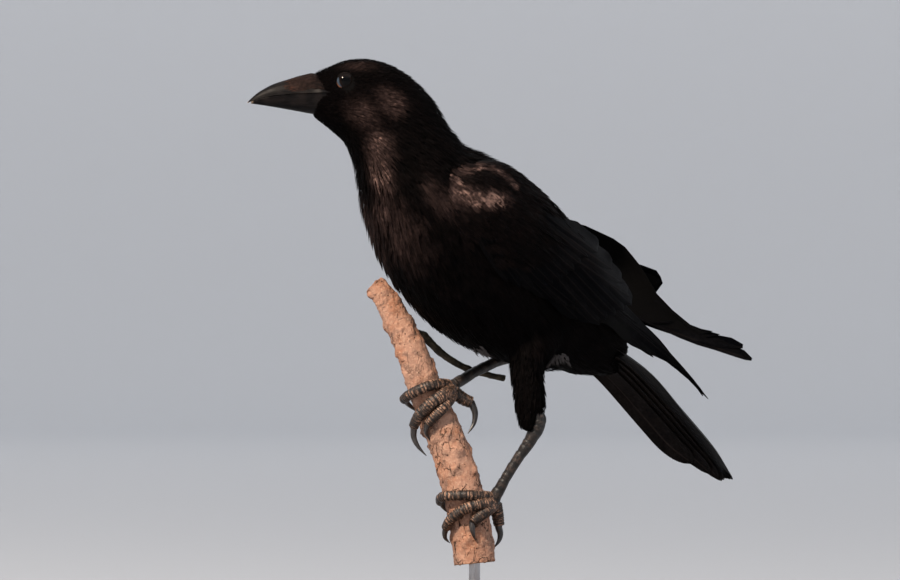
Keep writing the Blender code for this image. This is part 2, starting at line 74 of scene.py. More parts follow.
BODY_TURN = 36.0
HEAD_TURN = 8.0
TRUNK_MIDDLE = (-4.5, 8.0, 262.3)

# Sections across the bird from the base of the bill to the base of the tail: middle,
# turn about the vertical, how far the top leans back, half width and half depth.
SECTIONS = np.array((
    (-114.7, -36.1, 365.1, 8, 1, 11.0, 14.9),
    (-104.3, -34.6, 364.0, 8, 2, 15.5, 21.4),
    (-94.7, -33.2, 363.5, 8, 7, 19.0, 27.1),
    (-82.9, -31.5, 361.0, 9, 17, 23.0, 31.5),
    (-72.6, -29.6, 354.0, 12, 27, 26.5, 35.5),
    (-63.6, -27.4, 345.0, 16, 36, 29.5, 37.4),
    (-56.6, -24.8, 332.8, 21, 44, 33.0, 39.8),
    (-50.4, -22.3, 319.0, 26, 50, 37.5, 40.2),
    (-43.9, -19.2, 305.8, 31, 55, 43.0, 44.0),
    (-31.4, -11.2, 295.0, 34, 57, 49.0, 52.8),
    (-19.0, -3.0, 279.3, 36, 57, 53.0, 60.3),
    (-4.5, 8.0, 262.3, 36, 55, 54.0, 64.3),
    (11.3, 19.5, 243.8, 36, 52, 53.0, 63.6),
    (30.9, 33.7, 228.7, 36, 48, 48.0, 62.4),
    (51.0, 48.4, 216.0, 36, 43, 42.0, 54.9),
    (70.6, 62.6, 206.6, 36, 37, 35.0, 44.6),
    (87.6, 75.0, 195.2, 36, 30, 27.0, 33.6),
    (99.0, 83.6, 184.0, 36, 20, 18.0, 20.0),
))
THIGHS = (
    ((50, 20, 206), (39.8, -2, 126.5), 19.0),
    ((24, 70, 216), (32, 57, 179.5), 16.0),
)

EYE_CENTRE = (-92.5, -44.6, 375.0)
EYE_RADIUS = 7.5
# No feather is rooted nearer than this to the line of sight.
EYE_BARE = 6.0
# How strongly the feathers part round the eyes, and how far from them.
EYE_PARTING = 1.6
EYE_PARTING_REACH = 2.2
HEAD_MIDDLE_Y = -33.0
BILL_TIP = (-161.8, -42.6, 359.4)
# The bare joint behind the end of the near thigh, and how far it is bare.
HEEL = (49.0, -3.0, 128.0)
HEEL_BARE = 9.0
# Heights, and how far forward the feathers grow beside the bill at each.
BARE_LINE = (
    (350, 355, 359.3, 362.9, 365, 367.5, 369.5, 372),
    (-122, -118, -114, -110, -106.5, -107, -112, -122),
)

FLESH = ("head", "neck", "trunk", "thigh_left", "thigh_right")

# Browner plumage, partly real brown feathers and partly painted sunlight on the lit face, cheek
# and throat: its middle and reach as place along the bird and angle up its side.
Mark = namedtuple("Mark", "place angle long round brown")
MARKS = (
    Mark(4.0, 15, 0.65, 15, 1.2),
    Mark(2.9, -16, 1.0, 19, 0.8),
    Mark(4.6, -34, 0.9, 18, 1.1),
    Mark(5.6, -51, 1.0, 15, 1.3),
    Mark(8.2, -68, 1.6, 22, 0.75),
    Mark(2.2, 55, 0.8, 14, 0.5),
    Mark(8.2, -14, 0.9, 12, 0.55),
)

# The painted highlight over the wrist, a patch of sunlit feathers: its middle as distance back
# along the trunk and height, its half length and half height, its slope and how bright it is painted.
SHOULDER = (-32.5, 296.5)
SHOULDER_REACH = (17.0, 5.4)
SHOULDER_SLOPE = 0.08
SHOULDER_HIGHLIGHT = 2.8
# Painted highlight on the lit arc of scapulars above it, on an ellipse given as middle and half axes.
SCAPULAR = (-27.0, 303.0, 22.0, 13.0)
SCAPULAR_WIDTH = 0.13
SCAPULAR_HIGHLIGHT = 1.2
# Neither is nearer to the middle of the back than this.
SHOULDER_OUT = 14.0


def direction(turn, lean=90.0):
    """A unit vector turned about the vertical and leant back from it, in degrees."""
    turn = math.radians(turn)
    lean = math.radians(lean)
    return np.array((
        math.sin(lean) * math.cos(turn), math.sin(lean) * math.sin(turn), math.cos(lean)
    ))


def leftward(turn):
    return direction(turn - 90.0)


BACK = direction(BODY_TURN)
LEFT = leftward(BODY_TURN)
UP = np.array((0.0, 0.0, 1.0))

SECTION_MIDDLE = SECTIONS[:, :3]
SECTION_LEFT = np.array([leftward(turn) for turn in SECTIONS[:, 3]])
SECTION_TOP = np.array([direction(turn, lean) for turn, lean in SECTIONS[:, 3:5]])
SECTION_ALONG = np.cross(SECTION_TOP, SECTION_LEFT)


def unit(vectors):
    length = np.linalg.norm(vectors, axis=-1, keepdims=True)
    return vectors / np.maximum(length, 1e-9)


def smoothstep(low, high, value):
    t = np.clip((value - low) / (high - low), 0.0, 1.0)
    return t * t * (3.0 - 2.0 * t)


def body_place(points):
    """Where points lie on the bird: place among the sections, and angle round it.
    The angle is 0 at the bird's left, 90 on its back and -90 on its breast."""
    offset = points[:, None, :] - SECTION_MIDDLE[None]
    past = np.einsum("nsk,sk->ns", offset, SECTION_ALONG)
    first = np.clip((past > 0).sum(axis=1) - 1, 0, len(SECTIONS) - 2)
    rows = np.arange(len(points))
    before = past[rows, first]
    after = past[rows, first + 1]
    share = np.clip(before / np.where(before - after > 1e-6, before - after, 1.0), 0.0, 1.0)
    place = first + share
    middle = blend_rows(SECTION_MIDDLE, place)
    left = ((points - middle) * blend_rows(SECTION_LEFT, place)).sum(1)
    top = ((points - middle) * blend_rows(SECTION_TOP, place)).sum(1)
    width = blend_rows(SECTIONS[:, 5:6], place)[:, 0]
    depth = blend_rows(SECTIONS[:, 6:7], place)[:, 0]
    return place, np.degrees(np.arctan2(top / depth, left / width))


def blend_rows(table, place):
    first = np.clip(place.astype(int), 0, len(table) - 2)
    share = (place - first)[:, None]
    return table[first] * (1 - share) + table[first + 1] * share


def brown_and_sunlit_share(points):
    """How brown and pale the plumage is painted: 0 black, 1 brown, 2 buff. The brown is partly
    real and partly painted sunlight; the buff, on the shoulder, is painted highlight.
    """
    place, angle = body_place(points)
    side = np.degrees(np.arcsin(np.sin(np.radians(angle))))
    share = np.zeros(len(points))
    for mark in MARKS:
        off = ((place - mark.place) / mark.long) ** 2 + ((side - mark.angle) / mark.round) ** 2
        share = np.maximum(share, mark.brown * np.exp(-off**1.6))
    return np.maximum(share, painted_shoulder_highlight(points))


def painted_shoulder_highlight(points):
    """Painted highlight: the sunlit patch over the wrist, and the lit arc of scapulars above it."""
    back, out, height = body_parts(points)
    along = back - SHOULDER[0]
    rise = height - SHOULDER[1]
    across = np.abs((along - SHOULDER_SLOPE * rise) / SHOULDER_REACH[0])
    over = np.abs((rise + SHOULDER_SLOPE * along) / SHOULDER_REACH[1])
    patch = np.exp(-across**3 - over**3)
    ring = np.hypot((back - SCAPULAR[0]) / SCAPULAR[2], (height - SCAPULAR[1]) / SCAPULAR[3])
    arc = np.exp(-((ring - 1) / SCAPULAR_WIDTH) ** 2) * (height > SCAPULAR[1] - 2)
    return np.maximum(SHOULDER_HIGHLIGHT * patch, SCAPULAR_HIGHLIGHT * arc) * (np.abs(out) > SHOULDER_OUT)


def round_thighs(points):
    """For each thigh: its way down, points' shares of its length, offsets and radius."""
    for top, end, radius in THIGHS:
        run = np.array(end, float) - top
        t = (points - top) @ run / (run @ run)
        yield unit(run), t, points - top - t[:, None] * run, radius


def thigh_share(points):
    """How much a point belongs to a thigh, and which way that thigh runs."""
    share = np.zeros(len(points))
    along = np.zeros((len(points), 3))
    for run, t, offset, radius in round_thighs(points):
        near = np.linalg.norm(offset, axis=1)
        here = smoothstep(radius * 1.6, radius * 1.05, near) * smoothstep(0.12, 0.45, t)
        along = np.where((here > share)[:, None], run, along)
        share = np.maximum(share, here)
    return share, along


def eye_axes():
    """Centre of each eye and the way it looks, left and then right."""
    left = np.array(EYE_CENTRE)
    across = leftward(HEAD_TURN)
    middle = np.array((EYE_CENTRE[0], HEAD_MIDDLE_Y, EYE_CENTRE[2]))
    right = left - across * 2 * ((left - middle) @ across)
    return (left, across), (right, -across)


def eye_frame(gaze):
    """Which way is ahead and which is above, for an eye that looks along the gaze."""
    ahead = -direction(HEAD_TURN)
    above = np.cross(gaze, ahead)
    return ahead, above * np.sign(above[2])


def round_eye(points, centre, gaze):
    """Offsets from the line of sight of an eye, and whether points are on its side."""
    offset = points - centre
    return offset - (offset @ gaze)[:, None] * gaze, (offset @ gaze) > 0


def lie_of_coat(points, normals):
    """Which way the feathers point: back along the bird, down the thighs, round the eyes."""
    place, _ = body_place(points)
    along = blend_rows(SECTION_ALONG, place)
    share, leg = thigh_share(points)
    along = along * (1 - share[:, None]) + leg * share[:, None]
    for centre, gaze in eye_axes():
        flat, facing = round_eye(points, centre, gaze)
        beyond = np.maximum(np.linalg.norm(flat, axis=1) - EYE_RADIUS, 0)
        push = facing * EYE_PARTING * np.exp(-(beyond / EYE_PARTING_REACH) ** 2)
        along = along + unit(flat) * push[:, None]
    along = along - (along * normals).sum(1, keepdims=True) * normals
    return unit(along)


# ---------------------------------------------------------------- meshes and surfaces

def linked(name, data):
    """A new object of the scene."""
    made = bpy.data.objects.new(name, data)
    bpy.context.scene.collection.objects.link(made)
    return made


def join_into(total, part):
    """Adds one bmesh to another, and uses it up."""
    held = bpy.data.meshes.new("held")
    part.to_mesh(held)
    part.free()
    total.from_mesh(held)
    bpy.data.meshes.remove(held)


def add_tint(mesh, tint):
    values = np.asarray(tint, np.float32).ravel()
    mesh.attributes.new("tint", "FLOAT", "POINT").data.foreach_set("value", values)


def object_of(name, points, faces, material, uvs, tint):
    """A smooth mesh object from arrays in millimetres."""
    mesh = bpy.data.meshes.new(name)
    points = np.ascontiguousarray(points, np.float64).reshape(-1, 3) * MM
    mesh.vertices.add(len(points))
    mesh.vertices.foreach_set("co", points.ravel())
    mesh.loops.add(faces.size)
    mesh.loops.foreach_set("vertex_index", faces.ravel().astype(np.int32))
    mesh.polygons.add(len(faces))
    starts = np.arange(0, faces.size, faces.shape[1], dtype=np.int32)
    mesh.polygons.foreach_set("loop_start", starts)
    mesh.update(calc_edges=True)
    for layer_name, uv in uvs.items():
        layer = mesh.uv_layers.new(name=layer_name)
        layer.data.foreach_set("uv", uv[faces.ravel()].astype(np.float32).ravel())
    add_tint(mesh, tint)
    mesh.shade_smooth()
    mesh.materials.append(material)
    return linked(name, mesh)


def object_from(name, bm, material, sharp=None):
    """A smooth mesh object from a bmesh in millimetres, which is used up."""
    bmesh.ops.recalc_face_normals(bm, faces=bm.faces)
    bmesh.ops.transform(bm, matrix=Matrix.Scale(MM, 4), verts=bm.verts)
    mesh = bpy.data.meshes.new(name)
    bm.to_mesh(mesh)
    bm.free()
    mesh.shade_smooth()
    if sharp is not None:
        mesh.set_sharp_from_angle(angle=math.radians(sharp))
    mesh.materials.append(material)
    return linked(name, mesh)


def hand_over(piece, slot, *nodes):
    """Ties a finished piece to the frame: its body and its CAD nodes. The material slot is not used."""
    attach(piece, "root")
    if nodes:
        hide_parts(*nodes)
    return piece


def tube(rings):
    """A closed skin through rings, given as an array of rows, sides and coordinates. Its
    UV map runs once round and once along."""
    rings = np.asarray(rings, float)
    rows, sides = rings.shape[:2]
    bm = bmesh.new()
    layer = bm.loops.layers.uv.new("length")
    bmesh.ops.create_grid(bm, x_segments=sides, y_segments=rows - 1, size=1.0)
    for vertex in bm.verts:
        column = round((vertex.co.x + 1) / 2 * sides)
        row = round((vertex.co.y + 1) / 2 * (rows - 1))
        for loop in vertex.link_loops:
            loop[layer].uv = (column / sides, row / (rows - 1))
        vertex.co = rings[row, column % sides]
    bmesh.ops.remove_doubles(bm, verts=bm.verts, dist=1e-5)
    open_edges = [edge for edge in bm.edges if edge.is_boundary]
    bmesh.ops.holes_fill(bm, edges=open_edges, sides=0)
    return bm


def curve_through(table, count):
    """Catmull-Rom values at evenly spaced places through the rows of a table."""
    table = np.asarray(table, float)
    last = len(table) - 1
    place = np.linspace(0, last, count)
    first = np.clip(place.astype(int), 0, last - 1)
    t = (place - first)[:, None]
    a = table[np.clip(first - 1, 0, last)]
    b = table[first]
    c = table[first + 1]
    d = table[np.clip(first + 2, 0, last)]
    return 0.5 * (
        2 * b + (c - a) * t + (2 * a - 5 * b + 4 * c - d) * t**2 + (3 * b - a - 3 * c + d) * t**3
    )


def path_frames(path):
    """Along, across and up vectors at each point of a path."""
    along = unit(np.gradient(path, axis=0))
    across = np.zeros_like(path)
    last = np.array((0.0, 1.0, 0.0))
    for i, run in enumerate(along):
        last = last - run * (last @ run)
        last = last / np.linalg.norm(last)
        across[i] = last
    return along, across, np.cross(along, across)


def ways_round(path, sides):
    """Angles round a path, and the unit vectors out from each of its points at them."""
    _, across, up = path_frames(path)
    angle = np.linspace(0, 2 * math.pi, sides, endpoint=False)
    cosines, sines = np.cos(angle)[:, None], np.sin(angle)[:, None]
    return angle, across[:, None] * cosines + up[:, None] * sines


def round_rings(path, radii, sides, oval=0.0):
    """Rings round a path, by oval wider across it than up."""
    angle, around = ways_round(path, sides)
    radius = radii[:, None] * (1 + oval * np.cos(2 * angle))
    return path[:, None] + around * radius[..., None]


def read(rows, attribute, width=3, kind=float):
    """One attribute of a mesh's rows as an array."""
    values = np.zeros(len(rows) * width, kind)
    rows.foreach_get(attribute, values)
    return values.reshape(-1, width)


class Surface:
    """A mesh that points can be dropped onto, in millimetres."""

    def __init__(self, mesh):
        self.points = read(mesh.vertices, "co") / MM
        self.normals = read(mesh.vertices, "normal")
        mesh.calc_loop_triangles()
        self.faces = read(mesh.loop_triangles, "vertices", kind=np.int32)
        self.loops = read(mesh.loop_triangles, "loops", kind=np.int32)
        self.tree = BVHTree.FromPolygons(self.points.tolist(), self.faces.tolist())

    def nearest(self, points):
        """The nearest points of the surface, their smoothed normals and their faces."""
        found = [self.tree.find_nearest(point) for point in points.tolist()]
        index = np.array([hit[2] for hit in found])
        place = np.array([hit[0][:] for hit in found])
        return place, unit(self.normals[self.faces[index]].mean(1)), index

    def distance(self, points):
        return np.array([self.tree.find_nearest(point)[3] for point in points.tolist()])

    def areas(self):
        a, b, c = (self.points[self.faces[:, i]] for i in range(3))
        return np.linalg.norm(np.cross(b - a, c - a), axis=1) / 2


# The skin: how far the flesh nodes grow so that they fuse, room round the eyeballs, voxel
# size, how much the thighs narrow towards the heels, and the coat's depth along the bird.
FUSE = 0.5
EYE_ROOM = 0.7
SKIN_VOXEL = 2.2
THIGH_NARROWING = 0.40
COAT_DEPTHS = ((0, 2, 4, 6, 9, 13, 15, 17), (0.8, 1.3, 1.8, 2.8, 4.2, 4.4, 3.2, 2.0))
THIGH_COAT_DEPTH = 2.0


def drawn_in(points):
    """Narrows the feathered thighs towards the heels."""
    for _, t, offset, radius in round_thighs(points):
        near = np.linalg.norm(offset, axis=1) < radius * 1.5
        share = THIGH_NARROWING * near * smoothstep(0.75, 1.02, t) * smoothstep(-3, 6, offset[:, 0])
        points = points - offset * share[:, None]
    return points


def coat_depth(points):
    """How far the skin lies inside the tips of the coat."""
    place, _ = body_place(points)
    share, _ = thigh_share(points)
    return np.interp(place, *COAT_DEPTHS) * (1 - share) + THIGH_COAT_DEPTH * share


def remeshed_flesh(*others):
    """One smooth closed mesh round the flesh nodes, the eyeballs and any other nodes."""
    bm = bmesh.new()
    for name in FLESH + others:
        part = bmesh.new()
        part.from_mesh(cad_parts[name].data)
        bmesh.ops.remove_doubles(part, verts=part.verts, dist=1e-5)
        bmesh.ops.recalc_face_normals(part, faces=part.faces)
        part.normal_update()
        for vertex in part.verts:
            vertex.co += vertex.normal * FUSE * MM
        join_into(bm, part)
    for centre, _ in eye_axes():
        bmesh.ops.create_icosphere(
            bm, subdivisions=3, radius=(EYE_RADIUS + EYE_ROOM) * MM,
            matrix=Matrix.Translation(Vector(centre) * MM),
        )
    mesh = bpy.data.meshes.new("flesh")
    bm.to_mesh(mesh)
    bm.free()
    lump = linked("flesh", mesh)
    remesh = lump.modifiers.new("one skin", "REMESH")
    remesh.mode = "VOXEL"
    remesh.voxel_size = SKIN_VOXEL * MM
    graph = bpy.context.evaluated_depsgraph_get()
    whole = bpy.data.meshes.new_from_object(lump.evaluated_get(graph))
    bpy.data.objects.remove(lump, do_unlink=True)
    bpy.data.meshes.remove(mesh)
    return whole


def smoothed(mesh, turns):
    bm = bmesh.new()
    bm.from_mesh(mesh)
    for _ in range(turns):
        bmesh.ops.smooth_vert(
            bm, verts=bm.verts, factor=0.5, use_axis_x=True, use_axis_y=True, use_axis_z=True
        )
    bm.to_mesh(mesh)
    bm.free()
    return mesh


class Shared:
    """What the coat's operators use in common, made once by the skin's operator."""

    coat = None
    skin = None
    skin_uv = None


def skin_patch(points):
    """The middle on the skin's unwrap of the face nearest each point."""
    _, _, index = Shared.skin.nearest(points)
    return Shared.skin_uv[Shared.skin.loops[index]].mean(1)


# ---------------------------------------------------------------- finishes

class Finish:
    """A procedural material, with short calls for its nodes."""

    def __init__(self, name, roughness, specular=0.5, metallic=0.0):
        self.material = bpy.data.materials.new(name)
        self.material.use_nodes = True
        self.tree = self.material.node_tree
        self.shader = self.tree.nodes["Principled BSDF"]
        self.shader.inputs["Roughness"].default_value = roughness
        self.shader.inputs["Specular IOR Level"].default_value = specular
        self.shader.inputs["Metallic"].default_value = metallic

    def feed(self, socket, value):
        if isinstance(value, bpy.types.NodeSocket):
            self.tree.links.new(value, socket)
        elif isinstance(value, tuple) and len(value) == 3 and socket.type == "RGBA":
            socket.default_value = (*value, 1.0)
        else:
            socket.default_value = value

    def node(self, kind, output, inputs=None, **settings):
        """Adds a node, sets it up, feeds its inputs and gives one of its outputs."""
        node = self.tree.nodes.new("ShaderNode" + kind)
        for name, value in settings.items():
            setattr(node, name, value)
        for name, value in (inputs or {}).items():
            self.feed(node.inputs[name], value)
        return node.outputs[output]

    def math(self, operation, a, b=0.0, c=0.0):
        return self.node("Math", 0, {0: a, 1: b, 2: c}, operation=operation)

    def ramp(self, value, low, high, start=0.0, end=1.0):
        """Smoothly from start at low to end at high."""
        return self.node("MapRange", "Result", {
            "Value": value, "From Min": low, "From Max": high, "To Min": start, "To Max": end
        }, interpolation_type="SMOOTHSTEP")

    def mix(self, share, a, b):
        return self.node("Mix", 2, {0: share, 6: a, 7: b}, data_type="RGBA")

    def uv(self, layer):
        return self.split(self.node("UVMap", "UV", uv_map=layer))[:2]

    def split(self, vector):
        node = self.tree.nodes.new("ShaderNodeSeparateXYZ")
        self.tree.links.new(vector, node.inputs[0])
        return node.outputs["X"], node.outputs["Y"], node.outputs["Z"]

    def length(self, a, b):
        """The length of the vector whose two parts are a and b."""
        squares = self.math("ADD", self.math("MULTIPLY", a, a), self.math("MULTIPLY", b, b))
        return self.math("SQRT", squares)

    def place(self, stretch=(1.0, 1.0, 1.0), turn=(0.0, 0.0, 0.0)):
        where = self.node("TexCoord", "Object")
        return self.node("Mapping", "Vector", {"Vector": where, "Scale": stretch, "Rotation": turn})

    def warped(self, where, scale, amount):
        """A place shifted about by a noise."""
        shift = self.node("TexNoise", "Color", {"Scale": scale, "Detail": 4.0, "Vector": where})
        push = {0: shift, 1: (amount, amount, amount), 2: where}
        return self.node("VectorMath", "Vector", push, operation="MULTIPLY_ADD")

    def cloud(self, scale, detail=3.0, where=None):
        """Noise from 0 to 1, scale waves to the metre."""
        where = where or self.place()
        return self.node("TexNoise", "Fac", {"Scale": scale, "Detail": detail, "Vector": where})

    def cells(self, scale, where=None, feature="F1"):
        where = where or self.place()
        return self.node("TexVoronoi", "Distance", {"Scale": scale, "Vector": where}, feature=feature)

    def tint(self):
        return self.node("Attribute", "Fac", attribute_name="tint")

    def bump(self, height, strength, distance):
        inputs = {"Strength": strength, "Distance": distance, "Height": height}
        self.feed(self.shader.inputs["Normal"], self.node("Bump", "Normal", inputs))

    def colour(self, value):
        self.feed(self.shader.inputs["Base Color"], value)

    def roughness(self, value):
        self.feed(self.shader.inputs["Roughness"], value)


def feather_finish(name, colours, roughness, shaft=0.0, barbs=1.0, gloss=0.035):
    """Barbs slanting out from a shaft. The feather map runs -1 to 1 across, and along in
    centimetres. The colours are those of a tint of 0, 1 and 2."""
    finish = Finish(name, roughness, specular=gloss)
    across, along = finish.uv("feather")
    out = finish.math("ABSOLUTE", across)
    phase = finish.math("MULTIPLY_ADD", along, 22.0 * barbs, finish.math("MULTIPLY", out, -9.0))
    wave = finish.math("SINE", finish.math("MULTIPLY", phase, 2 * math.pi))
    rib = finish.ramp(out, 0.035, 0.10, 1.0, 0.0)
    patches = finish.cloud(70.0, 4.0)
    streak = finish.cloud(420.0, 2.0)
    share = finish.math("MULTIPLY", finish.tint(), finish.ramp(patches, 0.25, 0.75, 0.55, 1.35))
    share = finish.math("MULTIPLY", share, finish.ramp(streak, 0.25, 0.7, 0.5, 1.25))
    # Where the tint carries painted sunlight, light paints it brown and pale the brightest highlight.
    dark, light, pale = colours
    vane = finish.mix(finish.math("MINIMUM", share, 1.0), dark, light)
    vane = finish.mix(finish.ramp(share, 1.0, 2.2), vane, pale)
    if shaft:
        vane = finish.mix(finish.math("MULTIPLY", rib, shaft), vane, (0.030, 0.022, 0.019))
    finish.colour(vane)
    height = finish.math("MULTIPLY_ADD", wave, 0.35, finish.math("MULTIPLY", rib, 1.2))
    finish.bump(height, 0.5, 0.00012)
    return finish.material


def skin_finish():
    finish = Finish("skin", 0.8, specular=0.06)
    black = finish.mix(finish.cloud(300.0), (0.0010, 0.0010, 0.0011), (0.0024, 0.0020, 0.0020))
    # The tint browns the skin like the coat over it: partly real brown, partly painted sunlight.
    share = finish.math("MULTIPLY", finish.tint(), 0.5)
    finish.colour(finish.mix(share, black, (0.022, 0.014, 0.012)))
    finish.bump(finish.cloud(900.0), 0.4, 0.0003)
    return finish.material


def bill_finish():
    finish = Finish("bill_horn", 0.42, specular=0.06)
    _, along = finish.uv("length")
    long = finish.place(stretch=(0.18, 1.0, 1.6))
    streaks = finish.cloud(900.0, 4.0, long)
    patches = finish.cloud(110.0, 3.0)
    horn = finish.mix(finish.ramp(streaks, 0.35, 0.7), (0.0036, 0.0031, 0.0033), (0.0085, 0.0072, 0.0072))
    horn = finish.mix(finish.ramp(patches, 0.40, 0.75, 0.0, 0.5), horn, (0.018, 0.0135, 0.0125))
    # The very tip is painted pale: a painted highlight where the light catches it.
    painted_tip_highlight = finish.ramp(along, 0.94, 1.0)
    finish.colour(finish.mix(finish.math("MULTIPLY", painted_tip_highlight, 0.85), horn, (0.30, 0.22, 0.15)))
    finish.roughness(finish.ramp(patches, 0.3, 0.8, 0.36, 0.52))
    finish.bump(finish.math("ADD", streaks, finish.cloud(2500.0, 2.0)), 0.25, 0.00018)
    return finish.material


def eye_finish():
    """The disc map is the eye as it looks out, -1 to 1 each way."""
    finish = Finish("eye", 0.09, specular=0.12)
    ahead, above = finish.uv("disc")
    out = finish.length(ahead, above)
    grain = finish.cloud(2600.0, 3.0)
    iris = finish.mix(grain, (0.0016, 0.0009, 0.0007), (0.0085, 0.0036, 0.0022))
    colour = finish.mix(finish.ramp(out, 0.38, 0.46), (0.0006, 0.0006, 0.0007), iris)
    colour = finish.mix(finish.ramp(out, 0.62, 0.72), colour, (0.002, 0.002, 0.002))
    # A pale blue crescent along the eye's front edge: a painted reflection of the sky.
    painted_sky_crescent = finish.math("MULTIPLY", finish.ramp(out, 0.56, 0.66), finish.ramp(
        finish.math("MULTIPLY_ADD", above, -0.35, ahead), 0.50, 0.64
    ))
    finish.colour(finish.mix(painted_sky_crescent, colour, (0.040, 0.055, 0.075)))
    return finish.material


def lid_finish():
    """Beaded skin, orange-brown along its lower edge and black away from the eye."""
    finish = Finish("eyelid", 0.6, specular=0.0)
    ahead, above = finish.uv("disc")
    out = finish.length(ahead, above)
    beads = finish.cells(1500.0)
    low = finish.ramp(finish.math("MULTIPLY_ADD", ahead, 0.15, above), 0.15, -0.35)
    warm = finish.mix(beads, (0.30, 0.120, 0.055), (0.11, 0.045, 0.024))
    rim = finish.mix(low, (0.010, 0.008, 0.0075), warm)
    finish.colour(finish.mix(finish.ramp(out, 0.80, 0.88), rim, (0.002, 0.0017, 0.0017)))
    finish.bump(beads, 0.6, 0.0003)
    return finish.material


def scale_finish(name, pale, dark, shine):
    """Bare leg: the length map's second number counts scutes, so its fraction is the place
    on one."""
    finish = Finish(name, shine, specular=0.4)
    _, along = finish.uv("length")
    part = finish.math("FRACT", along)
    grain = finish.cloud(700.0, 4.0)
    edge = finish.math("MULTIPLY_ADD", grain, 0.5, 0.08)
    ridge = finish.math("MULTIPLY", finish.ramp(part, 0.10, edge), finish.ramp(part, 0.92, 0.70))
    # Scute ridges painted pale: partly the scales' own tone and partly painted highlight.
    ridge_tone_and_highlight = finish.math("MULTIPLY", ridge, finish.ramp(grain, 0.38, 0.60, 0.12, 1.0))
    beads = finish.cells(1500.0)
    colour = finish.mix(ridge_tone_and_highlight, dark, pale)
    colour = finish.mix(finish.ramp(finish.cloud(330.0, 3.0), 0.50, 0.60, 0.0, 0.8), colour, dark)
    finish.colour(finish.mix(finish.ramp(finish.cloud(110.0), 0.42, 0.64, 0.0, 0.85), colour, dark))
    finish.roughness(finish.ramp(grain, 0.3, 0.7, shine, shine + 0.2))
    finish.bump(finish.math("ADD", beads, grain), 0.45, 0.00025)
    return finish.material


def claw_finish():
    finish = Finish("claw_horn", 0.28, specular=0.6)
    streaks = finish.cloud(1200.0, 3.0, finish.place(stretch=(1.0, 1.0, 0.25)))
    finish.colour(finish.mix(finish.ramp(streaks, 0.4, 0.7), (0.012, 0.011, 0.012), (0.05, 0.042, 0.038)))
    finish.bump(streaks, 0.2, 0.0002)
    return finish.material


def bark_finish():
    """Flaking tan and orange bark, with dark cracks that widen towards the foot."""
    finish = Finish("bark", 0.82, specular=0.25)
    height = finish.split(finish.place())[2]
    low = finish.ramp(height, 0.20, 0.08)
    long = finish.place(stretch=(1.0, 1.0, 0.45), turn=(0.0, math.radians(18), 0.0))
    broad = finish.cloud(55.0, 5.0)
    fine = finish.cloud(700.0, 5.0)
    plates = finish.cells(150.0, finish.warped(long, 190.0, 0.007), "DISTANCE_TO_EDGE")
    specks = finish.cloud(430.0, 3.0)
    base = finish.mix(finish.ramp(broad, 0.35, 0.65), (0.36, 0.165, 0.098), (0.42, 0.235, 0.165))
    base = finish.mix(finish.ramp(finish.cloud(120.0, 4.0), 0.46, 0.68), base, (0.23, 0.130, 0.095))
    base = finish.mix(finish.ramp(fine, 0.45, 0.75, 0.0, 0.6), base, (0.56, 0.36, 0.25))
    reach = finish.math("MULTIPLY_ADD", finish.cloud(260.0), 0.16, -0.03)
    crack = finish.ramp(plates, reach, 0.0)
    crack = finish.math("MULTIPLY", crack, finish.ramp(finish.cloud(95.0, 3.0), 0.46, 0.56))
    crack = finish.math("MULTIPLY", crack, finish.ramp(low, 0.0, 1.0, 0.45, 1.0))
    speck = finish.ramp(specks, 0.34, 0.28, 0.0, 0.85)
    dark = finish.math("MAXIMUM", crack, speck)
    finish.colour(finish.mix(dark, base, (0.035, 0.020, 0.014)))
    relief = finish.math("MULTIPLY_ADD", fine, 0.6, finish.math("MULTIPLY", dark, -1.0))
    finish.bump(relief, 0.8, 0.0008)
    return finish.material


def twig_finish():
    finish = Finish("twig_bark", 0.7, specular=0.3)
    patches = finish.cloud(160.0, 4.0)
    finish.colour(finish.mix(finish.ramp(patches, 0.35, 0.7), (0.018, 0.015, 0.009), (0.075, 0.056, 0.034)))
    finish.bump(finish.cloud(800.0, 4.0), 0.6, 0.0004)
    return finish.material


def sawn_finish():
    finish = Finish("sawn_wood", 0.75, specular=0.3)
    rings = finish.cells(60.0, finish.place(stretch=(1.0, 1.0, 0.1)))
    grain = finish.math("SINE", finish.math("MULTIPLY", rings, 160.0))
    finish.colour(finish.mix(finish.ramp(grain, -1.0, 1.0), (0.50, 0.33, 0.19), (0.68, 0.50, 0.33)))
    finish.bump(grain, 0.3, 0.0002)
    return finish.material


def base_finish():
    finish = Finish("base_wood", 0.38, specular=0.5)
    long = finish.place(stretch=(0.12, 1.0, 1.0))
    figure = finish.cloud(70.0, 6.0, long)
    pores = finish.cloud(900.0, 3.0, long)
    grain = finish.math("MULTIPLY_ADD", pores, 0.35, figure)
    finish.colour(finish.mix(finish.ramp(grain, 0.45, 0.85), (0.045, 0.024, 0.014), (0.17, 0.095, 0.052)))
    finish.bump(pores, 0.25, 0.0002)
    return finish.material


def rod_finish():
    finish = Finish("rod_steel", 0.3, metallic=1.0)
    brushed = finish.cloud(2500.0, 2.0, finish.place(stretch=(1.0, 1.0, 0.03)))
    finish.colour(finish.mix(brushed, (0.48, 0.48, 0.50), (0.62, 0.62, 0.63)))
    finish.roughness(finish.ramp(brushed, 0.3, 0.7, 0.26, 0.4))
    return finish.material


# ---------------------------------------------------------------- soft feathers

# Strips side by side and rows of points in each, the share of a strip's length where it
# starts to narrow, and how unequal the strips are in length.
Coat = namedtuple("Coat", "strips rows barb_gap roughening")
